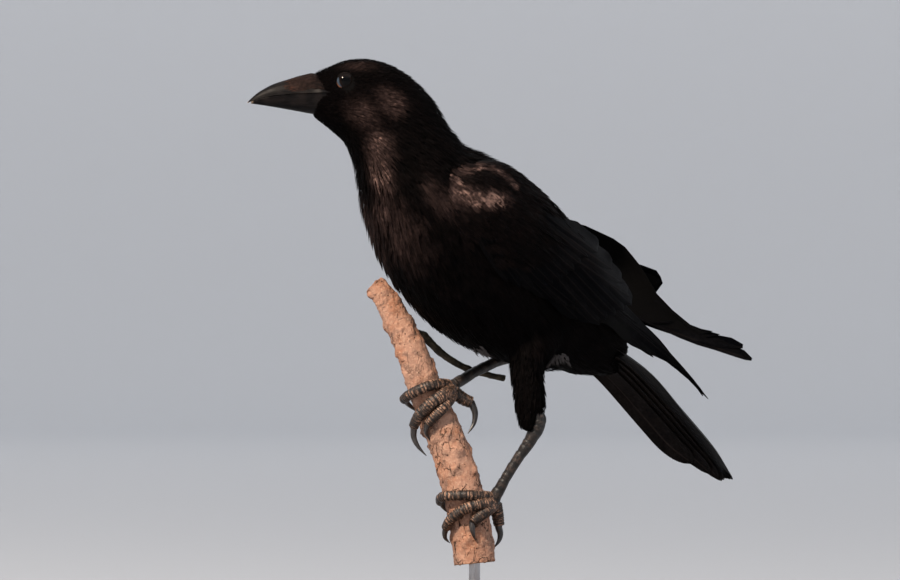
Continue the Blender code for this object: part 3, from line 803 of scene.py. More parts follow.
# Width at the root against the widest, where the widest starts, how far strips overlap, how
# much they narrow, how unevenly they stand and roll, and how much the feather is crowned.
ROOT_WIDTH = 0.35
WIDEST_FROM = 0.45
OVERLAP = 1.08
STRIP_TAPER = 0.9
STRIP_UNEVEN = 0.07
STRIP_ROLL = 0.30
CROWN = 0.16
NEIGHBOURS = tuple(itertools.product((-1, 0, 1), repeat=3))


def grid_template(columns, rows):
    """A grid for one feather or strip: place across, share of the length, faces."""
    bm = bmesh.new()
    bmesh.ops.create_grid(bm, x_segments=columns, y_segments=rows, size=1.0)
    bm.verts.ensure_lookup_table()
    spots = np.array([vertex.co[:2] for vertex in bm.verts])
    faces = np.array([[vertex.index for vertex in face.verts] for face in bm.faces])
    bm.free()
    return spots[:, 0], (spots[:, 1] + 1) / 2, faces


def scatter(surface, spacing, keep, seed):
    """Points over a surface no closer than their own spacing."""
    rng = np.random.default_rng(seed)
    middles = surface.points[surface.faces].mean(1)
    gap = spacing(middles)
    weight = surface.areas() / gap**2 * keep(middles)
    count = int(3.0 * weight.sum())
    chosen = rng.choice(len(weight), size=count, p=weight / weight.sum())
    a, b = rng.random((2, count, 1))
    flip = (a + b) > 1
    a, b = np.where(flip, 1 - a, a), np.where(flip, 1 - b, b)
    corner = surface.points[surface.faces[chosen]]
    points = corner[:, 0] + a * (corner[:, 1] - corner[:, 0]) + b * (corner[:, 2] - corner[:, 0])
    return points[thinned(points, spacing(points))]


def thinned(points, gap):
    """Which points to keep, so that none is nearer to one kept before it than its gap."""
    cell = float(gap.max())
    held = {}
    kept = []
    for index, (point, reach) in enumerate(zip(points.tolist(), gap.tolist())):
        x, y, z = (int(value // cell) for value in point)
        near = (other for i, j, k in NEIGHBOURS for other in held.get((x + i, y + j, z + k), ()))
        if all(math.dist(point, other) >= reach for other in near):
            held.setdefault((x, y, z), []).append(point)
            kept.append(index)
    return kept


def lay_paths(surface, roots, lengths, rows, rng, waver=0.12, lie=lie_of_coat):
    """Walks every feather over the surface from its root, following the lie of the coat."""
    place, normal, _ = surface.nearest(roots)
    along = lie(place, normal)
    sway = unit(np.cross(normal, along)) * rng.normal(0, waver, (len(roots), 1))
    along = unit(along + sway)
    places, normals, runs = [place], [normal], [along]
    step = (lengths / (rows - 1))[:, None]
    for _ in range(rows - 1):
        place, normal, _ = surface.nearest(place + along * step)
        fresh = lie(place, normal)
        along = along * 0.6 + fresh * 0.4
        along = unit(along - (along * normal).sum(1, keepdims=True) * normal)
        places.append(place)
        normals.append(normal)
        runs.append(along)
    return np.stack(places, 1), np.stack(normals, 1), np.stack(runs, 1)


def build_soft(name, material, roots, length, half_width, coat, seed, sink, lift, brown,
               slot="plumage", waver=0.12, surface=None, lie=lie_of_coat, pointed=0.35):
    """Feathers made of strips side by side that part at the tip. sink is how deep the root
    lies under the surface, lift how far the tip stands off it."""
    rng = np.random.default_rng(seed)
    surface = surface or Shared.coat
    strips, rows = coat.strips, coat.rows
    middles, normals, runs = lay_paths(surface, roots, length, rows, rng, waver, lie)
    length, half_width, sink, lift, brown = (
        values[:, None, None] for values in (length, half_width, sink, lift, brown)
    )
    side, share, faces = grid_template(1, rows - 1)
    feathers = len(roots)
    strip_middle = (2 * np.arange(strips) + 1) / strips - 1
    own = 1 - pointed * strip_middle[None] ** 2 - coat.roughening * rng.random((feathers, strips))
    t = own[:, :, None] * share[None, None]
    at = t * (rows - 1)
    first = np.clip(at.astype(int), 0, rows - 2)
    part = (at - first)[..., None]
    which = np.arange(feathers)[:, None, None]

    def sampled(values):
        return values[which, first] * (1 - part) + values[which, first + 1] * part

    middle = sampled(middles)
    normal = unit(sampled(normals))
    run = unit(sampled(runs))
    across = np.cross(normal, run)
    spread = ROOT_WIDTH + (1 - ROOT_WIDTH) * np.sin(np.clip(t / WIDEST_FROM, 0, 1) * math.pi / 2)
    narrow = 1 - STRIP_TAPER * np.clip((share - coat.barb_gap) / (1 - coat.barb_gap), 0, 1) ** 1.4
    own_half = OVERLAP / strips * narrow[None, None]
    wide = half_width * spread * (strip_middle[None, :, None] + side * own_half)
    height = -sink * (1 - t) + lift * t**1.5
    height = height + rng.normal(0, STRIP_UNEVEN, (feathers, strips, 1)) * half_width * t
    roll = rng.normal(0, STRIP_ROLL, (feathers, strips, 1))
    height = height + side * own_half * half_width * roll
    flat = wide / half_width
    height = height - CROWN * half_width * flat**2
    points = middle + across * wide[..., None] + normal * height[..., None]
    count = len(side)
    offsets = (np.arange(feathers * strips) * count)[:, None, None]
    all_faces = (faces[None] + offsets).reshape(-1, 4)
    u = strip_middle[None, :, None] + side / strips + np.zeros_like(t)
    v = t * length / 10
    own_tint = rng.random((feathers, 1, 1)) * 0.8 + rng.random((feathers, strips, 1)) * 0.4
    tint = 0.05 * own_tint + brown * (0.35 + own_tint) + 0 * t
    patch = skin_patch(roots)[:, None, None, :]
    bake = patch + (np.stack((u, t), -1) * (0.5, 1.0) + (0.0, -0.5)) * PATCH
    piece = object_of(
        name, points, all_faces, material,
        {"feather": np.stack((u, v), -1).reshape(-1, 2), "OFBake": bake.reshape(-1, 2)},
        np.clip(tint, 0, 2.5),
    )
    return hand_over(piece, slot)


# ---------------------------------------------------------------- flight feathers

# A row of wing feathers in the left wing, as x and z on the side that faces the camera:
# roots and tips run from a, by the lower edge, to b, by the upper one. layer is how far
# it stands off the layers under it, lead the share of its width ahead of the shaft.
Tract = namedtuple("Tract", "name root_a root_b tips width_a width_b layer_a layer_b lead tip bow")
WING_TRACTS = (
    Tract("primary", (26, 250), (54, 250),
          ((131, 178), (150, 169), (172.5, 147), (165.6, 155.8), (153.4, 166), (143.2, 176), (133, 186.5),
           (125, 195.2), (118.2, 203)),
          11, 13, 0.0, 1.5, 0.30, 0.50, -0.085),
    Tract("secondary", (22, 262), (64, 264),
          ((74, 206), (83, 203.5), (90, 202), (95, 206), (101, 209), (107, 212), (113, 216)),
          13, 14, 1.3, 3.0, 0.36, 0.80, 0.015),
    Tract("tertial", (46, 269), (59, 276), ((112, 222), (106, 232), (98, 242), (87, 254)),
          17, 18, 3.0, 4.0, 0.45, 0.78, 0.02),
    Tract("primary_covert", (2, 270), (20, 262),
          ((42, 226), (50, 221), (58, 218), (66, 216), (72, 216)), 8, 9, 1.6, 2.4, 0.4, 0.75, 0.02),
    Tract("alula", (0, 268), (6, 268), ((23, 233), (32, 229), (41, 227)), 7, 8, 2.3, 2.9, 0.35, 0.7, 0.01),
    Tract("greater_covert", (8, 276), (50, 280),
          ((50, 229), (55, 231), (60, 234), (65, 237), (70, 241), (75, 245), (80, 250), (85, 256)),
          11, 12, 2.8, 4.0, 0.42, 0.78, 0.02),
)
FLIGHT_COLOURS = ((0.0010, 0.0011, 0.0016), (0.0034, 0.0031, 0.0034), (0.008, 0.007, 0.007))
TAIL_COLOURS = ((0.0012, 0.0014, 0.0022), (0.0085, 0.0062, 0.0055), (0.014, 0.011, 0.010))
BRISTLE_COLOURS = ((0.003, 0.002, 0.002), (0.030, 0.0175, 0.0145), (0.075, 0.030, 0.020))
DOWN_COLOURS = ((0.02, 0.019, 0.019), (0.11, 0.10, 0.10), (0.2, 0.19, 0.18))
# Loose grey down that shows by the roots of the legs: middle, spread and how many.
DOWN = (((3, 8, 180), (3, 6, 2), 40), ((54, 22, 174), (7, 5, 2), 70))
# How far the inner secondaries and tertials of the right wing slide back into a bunch.
BUNCH = {
    13: (9, 6.3, -8), 14: (24.5, 17, -18.5), 15: (29.5, 20, -19.5), 16: (27, 19, -24),
    17: (17, 12, -23), 18: (6, 4, -6),
}
# How the right wing's primaries bend against the left wing's: the first and last of them,
# whether only their trailing sides do, and how much they rise at places along x.
Bend = namedtuple("Bend", "first last trailing places rises")
RIGHT_BENDS = (
    Bend(3, 4, False, (110, 130, 148, 170), (0, -2, -2.4, 0)),
    Bend(5, 8, False, (110, 130, 148, 170), (0, -5, -6, 0)),
    Bend(2, 3, True, (145, 153, 163, 174, 184, 195, 204), (0, 2.6, 2.8, 2.0, 3.5, 3.2, 2.0)),
    Bend(0, 8, False, (160, 185, 205), (0, 3, 2)),
)
# Shares of their length, and how far they droop there.
RIGHT_DROOP = ((0.3, 0.7, 0.9, 1.0), (0, 9, 10, 3))
# Bows of the left wing's first four primaries and the last, and of all the right wing's,
# against the usual one. From the third on, the left ones' trailing sides taper.
PRIMARY_BOWS = ((0, 1, 2, 3, 8), (0.35, 0.65, 0.80, 0.45, 0.0))
RIGHT_BOW = -0.1
EMARGINATION = 0.8
WING_VANE = (6, 18)
# How far the right wing is moved back and up, and where and over what length that grows.
WING_SHIFT = 27.0
WING_LIFT = 29.0
SHIFT_FROM = 40.0
SHIFT_OVER = 130.0
WRIST_BACK = -29.0
WRIST_HEIGHT = 297.0
WING_SLOPE = 0.68
# How far the vanes stand off the CAD wing's face, with how much for each layer: all over,
# and what that gains over the wing's front. How deep they are cupped, how far the shafts
# rise and the roots dip, and how ragged the edges are.
VANE_STAND = (-0.9, 0.45)
FRONT_STAND = (-1.3, 0.55)
CUP = 0.10
SHAFT_RISE = 0.30
ROOT_DIP = 0.8
RAGGED = 0.02
# The wing's inner solid: how far and to what share of its thickness it is drawn in, and
# how much more along the edges that feathers alone make.
LINING_INSET = 2.1
LINING_SHARE = 0.36
LINING_TRIM = 4.5
# The x from which and to which that fades in, and the height over the left wing's edge.
RIGHT_TRIM_FROM = (106.0, 122.0)
RIGHT_TRIM_TO = (185.0, 165.0)
LEFT_TRIM_FROM = (100.0, 118.0)
LEFT_TRIM_ABOVE = (2.0, 9.0)
# Square to the left wing's upper edge, in its own plane, and a point on that edge.
EDGE_UP = Vector((0.69, 0.0, 0.72))
EDGE_POINT = Vector((60.0, 0.0, 255.0))

# Sections of the folded tail: middle, half width and how far the edges drop.
TAIL = np.array((
    (72.5, 63.0, 203.0, 19, 5), (91.0, 80.5, 188.8, 26.5, 7), (116.2, 99.3, 169.8, 30.5, 8.5),
    (141.0, 118.1, 143.6, 29.3, 10.5), (163.0, 132.4, 118.1, 28.5, 10), (174.8, 141.4, 102.7, 23.5, 8),
    (186.0, 150.6, 87.2, 17, 5),
))
TAIL_PAIRS = 6
TAIL_ROLL = math.radians(6)
TAIL_LENGTH = 17.5
TAIL_VANE = (10, 30)
# Where the shafts lie across the tail, and half the width that they draw in to at the tip.
TAIL_FIRST = 0.05
TAIL_STEP = 0.148
TAIL_TIP_HALF = 17.0
# Shares of half the tail's width that a vane reaches on its outer and inner side, and that
# each side of the middle pair reaches.
OUTER_REACH = 0.21
INNER_REACH = 0.40
MIDDLE_REACH = 0.36
TAIL_FRAY = 0.006
# Height of the middle pair over the tail's sections, and how much lower each next pair is.
TAIL_TOP = 2.0
TAIL_LAYER = 0.8


def vane_width(share, tip_from):
    """Width along a vane, against its widest: narrow at the root, rounded at the tip."""
    end = np.clip((share - tip_from) / (1 - tip_from), 0, 1)
    return np.minimum(1.0, 0.4 + 1.9 * share) * np.sqrt(np.clip(1 - end**2, 0.0004, 1))


def atlas(index, total, u, t):
    """Each feather's own cell of the OFBake map."""
    columns = 12
    rows = math.ceil(total / columns)
    column, row = index % columns, index // columns
    return np.stack((
        (column + 0.5 + 0.42 * u) / columns, (row + 0.06 + 0.88 * t) / rows
    ), -1)


class Relief:
    """The outer face of the left wing as depth over the x-z plane, carried on smoothly
    past its edges."""

    def __init__(self, node, low=(-70.0, 120.0), high=(200.0, 345.0), step=2.5):
        tree = Surface(node.data).tree
        self.low = np.array(low)
        self.step = step
        columns, rows = (int((b - a) / step) + 1 for a, b in zip(low, high))
        depth = np.full((columns, rows), np.nan)
        ahead = Vector((0, 1, 0))
        for i in range(columns):
            for j in range(rows):
                start = Vector((low[0] + i * step, -400.0, low[1] + j * step))
                hit = tree.ray_cast(start, ahead)[0]
                if hit is not None:
                    depth[i, j] = hit.y
        for _ in range(60):
            depth = self.spread(depth)
        depth[np.isnan(depth)] = np.nanmean(depth)
        for _ in range(4):
            framed = np.pad(depth, 1, mode="edge")
            depth = (framed[:-2, 1:-1] + framed[2:, 1:-1] + framed[1:-1, :-2] + framed[1:-1, 2:]
                     + 2 * depth) / 6
        self.grid = depth

    @staticmethod
    def spread(depth):
        """Fills the empty cells beside full ones, keeping on at half the slope."""
        framed = np.pad(depth, 2, constant_values=np.nan)
        guesses = []
        for axis, way in ((0, 1), (0, -1), (1, 1), (1, -1)):
            near = np.roll(framed, way, axis)[2:-2, 2:-2]
            far = np.roll(framed, 2 * way, axis)[2:-2, 2:-2]
            guesses.append(np.where(np.isnan(far), near, near + 0.5 * (near - far)))
        stack = np.stack(guesses)
        found = ~np.isnan(stack)
        total = np.where(found, stack, 0).sum(0)
        mean = total / np.maximum(found.sum(0), 1)
        return np.where(np.isnan(depth) & found.any(0), mean, depth)

    def depth(self, x, z):
        at_x = np.clip((x - self.low[0]) / self.step, 0, self.grid.shape[0] - 1.001)
        at_z = np.clip((z - self.low[1]) / self.step, 0, self.grid.shape[1] - 1.001)
        i, j = at_x.astype(int), at_z.astype(int)
        s, t = at_x - i, at_z - j
        near = self.grid[i, j] * (1 - s) + self.grid[i + 1, j] * s
        far = self.grid[i, j + 1] * (1 - s) + self.grid[i + 1, j + 1] * s
        return near * (1 - t) + far * t


def body_parts(points):
    """Distance back along the trunk, out to its left, and height."""
    offset = points - np.array(TRUNK_MIDDLE)
    return offset @ BACK, offset @ LEFT, points[..., 2]


def to_right_wing(points):
    """Mirrors the left wing and holds it higher and further back."""
    back, out, height = body_parts(points)
    reach = back - 0.9 * (height - 241.5)
    t = np.clip((reach - SHIFT_FROM) / SHIFT_OVER, 0, 1)
    lift = t * (2 - t)
    flat = np.array((TRUNK_MIDDLE[0], TRUNK_MIDDLE[1], 0.0))
    return (
        flat
        + (back + WING_SHIFT * lift)[..., None] * BACK
        - out[..., None] * LEFT
        + (height + WING_LIFT * lift)[..., None] * UP
    )


def wing_reach(points):
    """Distance from the wrist along the folded wing."""
    back, _, height = body_parts(points)
    slope = math.hypot(1.0, WING_SLOPE)
    return (back - WRIST_BACK + (WRIST_HEIGHT - height) * WING_SLOPE) / slope


def wing_across(points):
    """Height over the line from the wrist along the folded wing."""
    back, _, height = body_parts(points)
    return height - WRIST_HEIGHT + WING_SLOPE * (back - WRIST_BACK)


def wing_brown_and_highlight(points):
    """Painted highlight of the sunlit shoulder, with a faint real brown on the lesser coverts near the
    wrist.
    """
    brown = 0.03 * np.exp(-((wing_reach(points) - 30) / 34) ** 2)
    return np.maximum(painted_shoulder_highlight(points), brown)


def lie_of_wing(points, normals):
    along = np.broadcast_to(BACK - WING_SLOPE * UP, points.shape)
    return unit(along - (along * normals).sum(1, keepdims=True) * normals)


def lie_of_shoulder(points, normals):
    """Between the lie of the body feathers and that of the wing."""
    return unit(lie_of_coat(points, normals) + lie_of_wing(points, normals))


def gathered(feathers, faces):
    """One piece's arrays from those of its feathers: points, faces, maps and tint."""
    points, feather, bake, tint = (np.concatenate(column) for column in zip(*feathers))
    offsets = np.arange(len(feathers))[:, None, None] * len(feathers[0][0])
    maps = {"feather": feather, "OFBake": bake}
    return points, (faces + offsets).reshape(-1, faces.shape[1]), maps, tint


def wing_vanes(relief, side):
    """The long feathers of one wing."""
    rng = np.random.default_rng(SEED + 5)
    u, t, faces = grid_template(*WING_VANE)
    total = sum(len(tract.tips) for tract in WING_TRACTS)
    feathers = []
    for tract in WING_TRACTS:
        for i, tip in enumerate(tract.tips):
            s = i / max(len(tract.tips) - 1, 1)
            root = np.array(tract.root_a) * (1 - s) + np.array(tract.root_b) * s
            run = np.array(tip) - root
            length = np.linalg.norm(run)
            square = np.array((run[1], -run[0])) / length
            width = tract.width_a + (tract.width_b - tract.width_a) * s
            layer = tract.layer_a + (tract.layer_b - tract.layer_a) * s
            lead = np.where(u > 0, tract.lead, 1 - tract.lead)
            ragged = 1 + rng.normal(0, RAGGED, len(u)) * (t > 0.5)
            lateral = width * u * lead * vane_width(t, tract.tip) * ragged
            bow = tract.bow
            if tract.name == "primary":
                bow *= np.interp(i, *PRIMARY_BOWS) if side > 0 else RIGHT_BOW
                tapered = (u < 0) & (i >= 2) & (side > 0)
                lateral = lateral * (1 - EMARGINATION * tapered * smoothstep(0.35, 0.8, t))
            lateral = lateral + bow * length * 4 * t * (1 - t)
            x, z = (root + t[:, None] * run + lateral[:, None] * square).T
            front = smoothstep(150, 60, x)
            stand = VANE_STAND[0] + VANE_STAND[1] * layer
            stand = stand + front * (FRONT_STAND[0] + FRONT_STAND[1] * layer)
            stand = stand - CUP * width * u**2 * (0.4 + 0.6 * front)
            stand = stand + SHAFT_RISE * np.exp(-(u / 0.08) ** 2) - ROOT_DIP * (1 - t) ** 3
            feathers.append((
                np.stack((x, relief.depth(x, z), z), -1) + stand[:, None] * LEFT,
                np.stack((u, t * length / 10), -1),
                atlas(len(feathers), total, u, t),
                np.full(len(u), rng.random() * 0.9),
            ))
    points, *rest = gathered(feathers, faces)
    if side < 0:
        points = bent_right(to_right_wing(points), np.tile(u, total), np.tile(t, total))
    return points, *rest


def bent_right(points, u, t):
    """Bends the mirrored feathers to the looser lie of the right wing."""
    rank = np.arange(len(points)) // (len(points) // sum(len(tract.tips) for tract in WING_TRACTS))
    primaries = len(WING_TRACTS[0].tips)
    points[:, 2] -= (rank < primaries) * np.interp(t, *RIGHT_DROOP)
    for bend in RIGHT_BENDS:
        chosen = (rank >= bend.first) & (rank <= bend.last)
        if bend.trailing:
            chosen = chosen & (u < 0)
        points[:, 2] += chosen * np.interp(points[:, 0], bend.places, bend.rises)
    for moved, shift in BUNCH.items():
        points += ((rank == moved) * smoothstep(0.4, 1.0, t))[:, None] * np.array(shift)
    return points


def wing_lining(node, side, material, name):
    """The wing's dark inner solid, thinner than the CAD wing, under its feathers."""
    bm = bmesh.new()
    bm.from_mesh(node.data)
    bmesh.ops.transform(bm, matrix=Matrix.Scale(1 / MM, 4), verts=bm.verts)
    bmesh.ops.remove_doubles(bm, verts=bm.verts, dist=0.01)
    bmesh.ops.recalc_face_normals(bm, faces=bm.faces)
    bm.normal_update()
    tree = BVHTree.FromBMesh(bm)
    moved = []
    for vertex in bm.verts:
        inward = -vertex.normal
        hit = tree.ray_cast(vertex.co + inward * 0.02, inward)
        thick = hit[3] if hit[3] is not None else 1.0
        place = vertex.co + inward * min(LINING_INSET, thick * LINING_SHARE)
        x = vertex.co.x
        if side < 0 and vertex.normal.z > 0.1:
            trim = smoothstep(*RIGHT_TRIM_FROM, x) * smoothstep(*RIGHT_TRIM_TO, x)
            place += Vector((inward.x, 0.0, inward.z)) * LINING_TRIM * float(trim)
        if side > 0:
            over = (vertex.co - EDGE_POINT) @ EDGE_UP
            trim = smoothstep(*LEFT_TRIM_ABOVE, over) * smoothstep(*LEFT_TRIM_FROM, x)
            place -= EDGE_UP * LINING_TRIM * float(trim)
        moved.append(place)
    for vertex, place in zip(bm.verts, moved):
        vertex.co = place
    return object_from(name, bm, material, sharp=60)


def tail_vanes():
    """Six pairs of tail feathers, the middle pair on top."""
    rng = np.random.default_rng(SEED + 7)
    u, t, faces = grid_template(*TAIL_VANE)
    path = curve_through(TAIL, 60)
    slope = unit(TAIL[-1, :3] - TAIL[0, :3])
    up = np.cross(LEFT, slope)
    across = LEFT * math.cos(TAIL_ROLL) + up * math.sin(TAIL_ROLL)
    up = np.cross(across, slope)
    feathers = []
    for pair in range(TAIL_PAIRS - 1, -1, -1):
        for side in (-1, 1):
            lower = side < 0
            short = 0.20 * (pair / 5) ** 4 if lower else 0.0026 * pair**2
            end = 1.0 - short - 0.012 * rng.random()
            columns = np.round((u + 1) / 2 * TAIL_VANE[0]).astype(int)
            frayed = rng.normal(0, TAIL_FRAY, TAIL_VANE[0] + 1)[columns]
            share = t * end + frayed * smoothstep(0.9, 1.0, t)
            spot = np.clip(share, 0, 1) * (len(path) - 1)
            row = np.stack([np.interp(spot, np.arange(len(path)), path[:, k]) for k in range(5)], -1)
            middle, half, drop = row[:, :3], row[:, 3], row[:, 4]
            reach = np.where(u * side > 0, OUTER_REACH, INNER_REACH) if pair else MIDDLE_REACH
            reach = reach * np.interp(share, (0, 1), (0.8, 1.05))
            shaft = side * (TAIL_FIRST + TAIL_STEP * pair)
            wide = half * (shaft + u * reach * vane_width(t, 0.88))
            fold = smoothstep(0.74 if lower else 0.9, 1.0, share)
            wide = wide + (TAIL_TIP_HALF - half) * fold * shaft
            wide = wide * (1 - 0.14 * smoothstep(0.6, 0.82, share) * lower * (pair > 2))
            layer = TAIL_TOP - TAIL_LAYER * pair - 0.1 * (not lower)
            stand = layer - drop * (wide / half) ** 2 - 0.8 * u**2 + 0.35 * np.exp(-(u / 0.07) ** 2)
            feathers.append((
                middle + wide[:, None] * across + stand[:, None] * up,
                np.stack((u, t * TAIL_LENGTH), -1),
                atlas(len(feathers), 2 * TAIL_PAIRS, u, t),
                # The far side's feathers show undersides that face the light; their browner tint is painted
                # sunlight.
                np.full(len(u), (0.9 if lower else 0.2) + 0.6 * rng.random()),
            ))
    return gathered(feathers, faces)


# ---------------------------------------------------------------- bill and eyes

# Distance back from the tip, heights of ridge, gape and lower edge, half width.
BILL = (
    (58.0, 374.0, 366.8, 352.5, 14.6),
    (52.0, 379.0, 366.8, 351.6, 13.6),
    (46.2, 380.8, 366.6, 352.0, 11.3),
    (37.0, 378.6, 366.2, 353.6, 9.0),
    (28.6, 376.2, 365.7, 355.1, 7.4),
    (18.0, 372.6, 364.6, 356.9, 5.4),
    (9.0, 367.6, 362.9, 358.3, 3.5),
    (3.2, 362.9, 360.6, 359.0, 1.8),
    (0.5, 360.0, 359.4, 359.2, 0.5),
)
# What differs between its halves: the cutting edge's height over the gape, width, how full
# the section is, how it is pinched, where the groove runs and how its inner side bulges.
Half = namedtuple("Half", "edge width power pinch groove bulge")
BILL_UPPER = Half(0.1, 1.0, 0.85, 0.16, 0.52, 0.0)
BILL_LOWER = Half(-0.45, 0.95, 0.72, 0.05, 0.45, 0.8)
GROOVE_DEPTH = 0.028
LIP = 0.05
BILL_ROWS = 72
BILL_SIDES = 40
# Nasal bristles on each side, their width, and how brown they are at distances from the tip.
BRISTLES = 620
BRISTLE_WIDTH = 0.64
BRISTLE_BROWN = ((29, 36, 43, 49), (1.6, 0.7, 0.45, 0.0))


def bill_rings(upper):
    """Half-round sections with a ridge along the back, a groove along the side and a
    cutting edge."""
    part = BILL_UPPER if upper else BILL_LOWER
    backward = direction(HEAD_TURN)
    across = leftward(HEAD_TURN)
    angle = np.linspace(0, math.pi, BILL_SIDES // 2 + 1)
    side = np.cos(angle)
    high = np.sin(angle)
    rise = np.maximum(high, 0) ** part.power
    flat = np.linspace(-1, 1, BILL_SIDES // 2 + 1)[1:-1]
    lip = 1 + LIP * np.exp(-(rise / 0.10) ** 2)
    groove_line = np.exp(-((rise - part.groove) / 0.07) ** 2)
    rings = []
    for back, ridge, gape, under, half in curve_through(BILL if upper else BILL[:-1], BILL_ROWS):
        edge = gape + part.edge
        half = half * part.width
        reach = (ridge if upper else under) - edge
        pinch = 1 - part.pinch * high**2 * (1 - high**6)
        if upper:
            pinch = pinch - 0.34 * smoothstep(43, 55, back) * high
        groove = groove_line * smoothstep(6, 20, back) * GROOVE_DEPTH
        shell = np.stack((half * side * pinch * (1 - groove) * lip, edge + reach * rise), -1)
        floor = np.stack((half * (1 + LIP) * flat, edge + part.bulge * (1 - flat**8)), -1)
        section = np.concatenate((shell, floor))
        ring = np.array(BILL_TIP) + backward * back + section[:, :1] * across
        ring[:, 2] = section[:, 1]
        rings.append(ring)
    return np.array(rings)


LID_SIDES = 20
LID_COUNT = 120
# Half the opening of the lids, their thickness, and how far round the ball they reach.
LID_OPENING = 5.55
LID_THICK = 0.16
LID_BEAD = 0.34
LID_BEADS = 34
LID_BACK = math.radians(104)


def make_eye(name, centre, gaze, material):
    """A ball whose disc map faces out along the gaze."""
    bm = bmesh.new()
    bmesh.ops.create_uvsphere(bm, u_segments=64, v_segments=40, radius=1.0)
    ahead, above = eye_frame(gaze)
    layer = bm.loops.layers.uv.new("disc")
    for vertex in bm.verts:
        x, y, z = vertex.co
        for loop in vertex.link_loops:
            loop[layer].uv = (x, y)
        bulge = 1 + 0.05 * max(z, 0.0) ** 6
        vertex.co = centre + EYE_RADIUS * bulge * (x * ahead + y * above + z * gaze)
    return object_from(name, bm, material)


def make_lid(name, centre, gaze, material):
    """Bare skin hugging the ball behind a beaded rim, drawn out a little at its corners."""
    ahead, above = eye_frame(gaze)
    rings = []
    for i in range(LID_COUNT):
        turn = 2 * math.pi * i / LID_COUNT
        out = unit(ahead * math.cos(turn) + above * math.sin(turn))
        opening = LID_OPENING + 0.45 * abs(math.cos(turn)) ** 6 - 0.30 * abs(math.sin(turn)) ** 4
        first = math.asin(opening / EYE_RADIUS)
        bead = LID_BEAD + 0.07 * math.sin(turn * LID_BEADS)
        ring = []
        for k in range(LID_SIDES):
            around = 2 * math.pi * k / LID_SIDES
            share = (1 - math.cos(around)) / 2
            lean = first + (LID_BACK - first) * share**1.6
            thick = LID_THICK + (bead - LID_THICK) * math.exp(-((share / 0.12) ** 2))
            away = EYE_RADIUS + LID_THICK + thick * math.sin(around)
            ring.append(centre + away * (out * math.sin(lean) + gaze * math.cos(lean)))
        rings.append(ring)
    bm = bmesh.new()
    bmesh.ops.create_grid(bm, x_segments=LID_SIDES, y_segments=LID_COUNT, size=1.0)
    rings = np.array(rings)
    layer = bm.loops.layers.uv.new("disc")
    for vertex in bm.verts:
        column = round((vertex.co.x + 1) / 2 * LID_SIDES) % LID_SIDES
        row = round((vertex.co.y + 1) / 2 * LID_COUNT) % LID_COUNT
        vertex.co = rings[row, column]
        offset = (rings[row, column] - centre) / EYE_RADIUS
        for loop in vertex.link_loops:
            loop[layer].uv = (offset @ ahead, offset @ above)
    bmesh.ops.remove_doubles(bm, verts=bm.verts, dist=1e-5)
    return object_from(name, bm, material)


def build_bristles(name, material, seed):
    """Stiff nasal bristles lying forward over the base of the bill."""
    rng = np.random.default_rng(seed)
    side, t, faces = grid_template(1, 5)
    backward = direction(HEAD_TURN)
    across = leftward(HEAD_TURN)
    places, ridges, gapes, _, halves = np.array(BILL)[::-1].T
    bristles = []
    for way in np.repeat((-1, 1), BRISTLES):
        height = rng.uniform(0.10, 1.0)
        start = rng.uniform(41, 58) + max(0.45 - height, 0.0) * 18
        reach = rng.uniform(10, 16) * (1.15 - 0.5 * abs(height - 0.6))
        sag = rng.normal(-0.06, 0.05)
        back = start - reach * t
        rise = np.clip(height + sag * t + 0.05 * np.sin(t * 3 + rng.random() * 6), 0, 1)
        ridge, gape, half = (np.interp(back, places, values) for values in (ridges, gapes, halves))
        angle = np.arcsin(rise ** (1 / BILL_UPPER.power))
        stand = 0.25 + 0.5 * np.sin(t * 2.2) * rng.uniform(0.3, 1.0)
        wide = half * np.cos(angle) * 0.93 + stand * np.cos(angle)
        spot = np.array(BILL_TIP) + backward * back[:, None] + way * wide[:, None] * across
        spot[:, 2] = gape + (ridge - gape) * rise + stand * np.sin(angle) * 0.6
        half_width = BRISTLE_WIDTH / 2 * (1 - 0.85 * t**2) * side
        spot[:, 2] += half_width * np.cos(angle)
        spot -= (half_width * np.sin(angle))[:, None] * way * across
        brown = rng.random() * 0.4 + np.interp(back, *BRISTLE_BROWN)
        patch = skin_patch(spot[[np.argmin(t)]]) + np.stack((side * 0.5, t - 0.5), -1) * PATCH
        bristles.append((spot, np.stack((side, t * reach / 10), -1), patch, brown))
    points, faces, maps, tint = gathered(bristles, faces)
    return hand_over(object_of(name, points, faces, material, maps, tint), "plumage")


# ---------------------------------------------------------------- legs, branch and stand

# Middle line and radius of each shank, from the heel to the foot.
TARSI = {
    "left": ((38.0, -2, 141, 3.5), (45.0, -2, 135.6, 5.6), (44.0, -2, 128.6, 5.4),
             (40.6, -2, 121.6, 4.7), (35.4, -1.6, 113.5, 4.1), (27.5, -1, 102.0, 3.7),
             (20.8, 0, 90.6, 3.8), (16.2, 1, 82.5, 4.3), (13.4, 1.8, 77.0, 4.6)),
    "right": ((33.0, 57.0, 181.5, 6.0), (29.8, 55.4, 179.5, 5.2), (26.0, 52.6, 178.6, 4.6),
              (18.4, 48.0, 176.4, 4.0), (4.0, 39.2, 170.0, 3.8), (-8.4, 31.0, 163.0, 4.0),
              (-15.2, 26.2, 158.6, 4.4)),
}
SHANK_SCUTES = 13
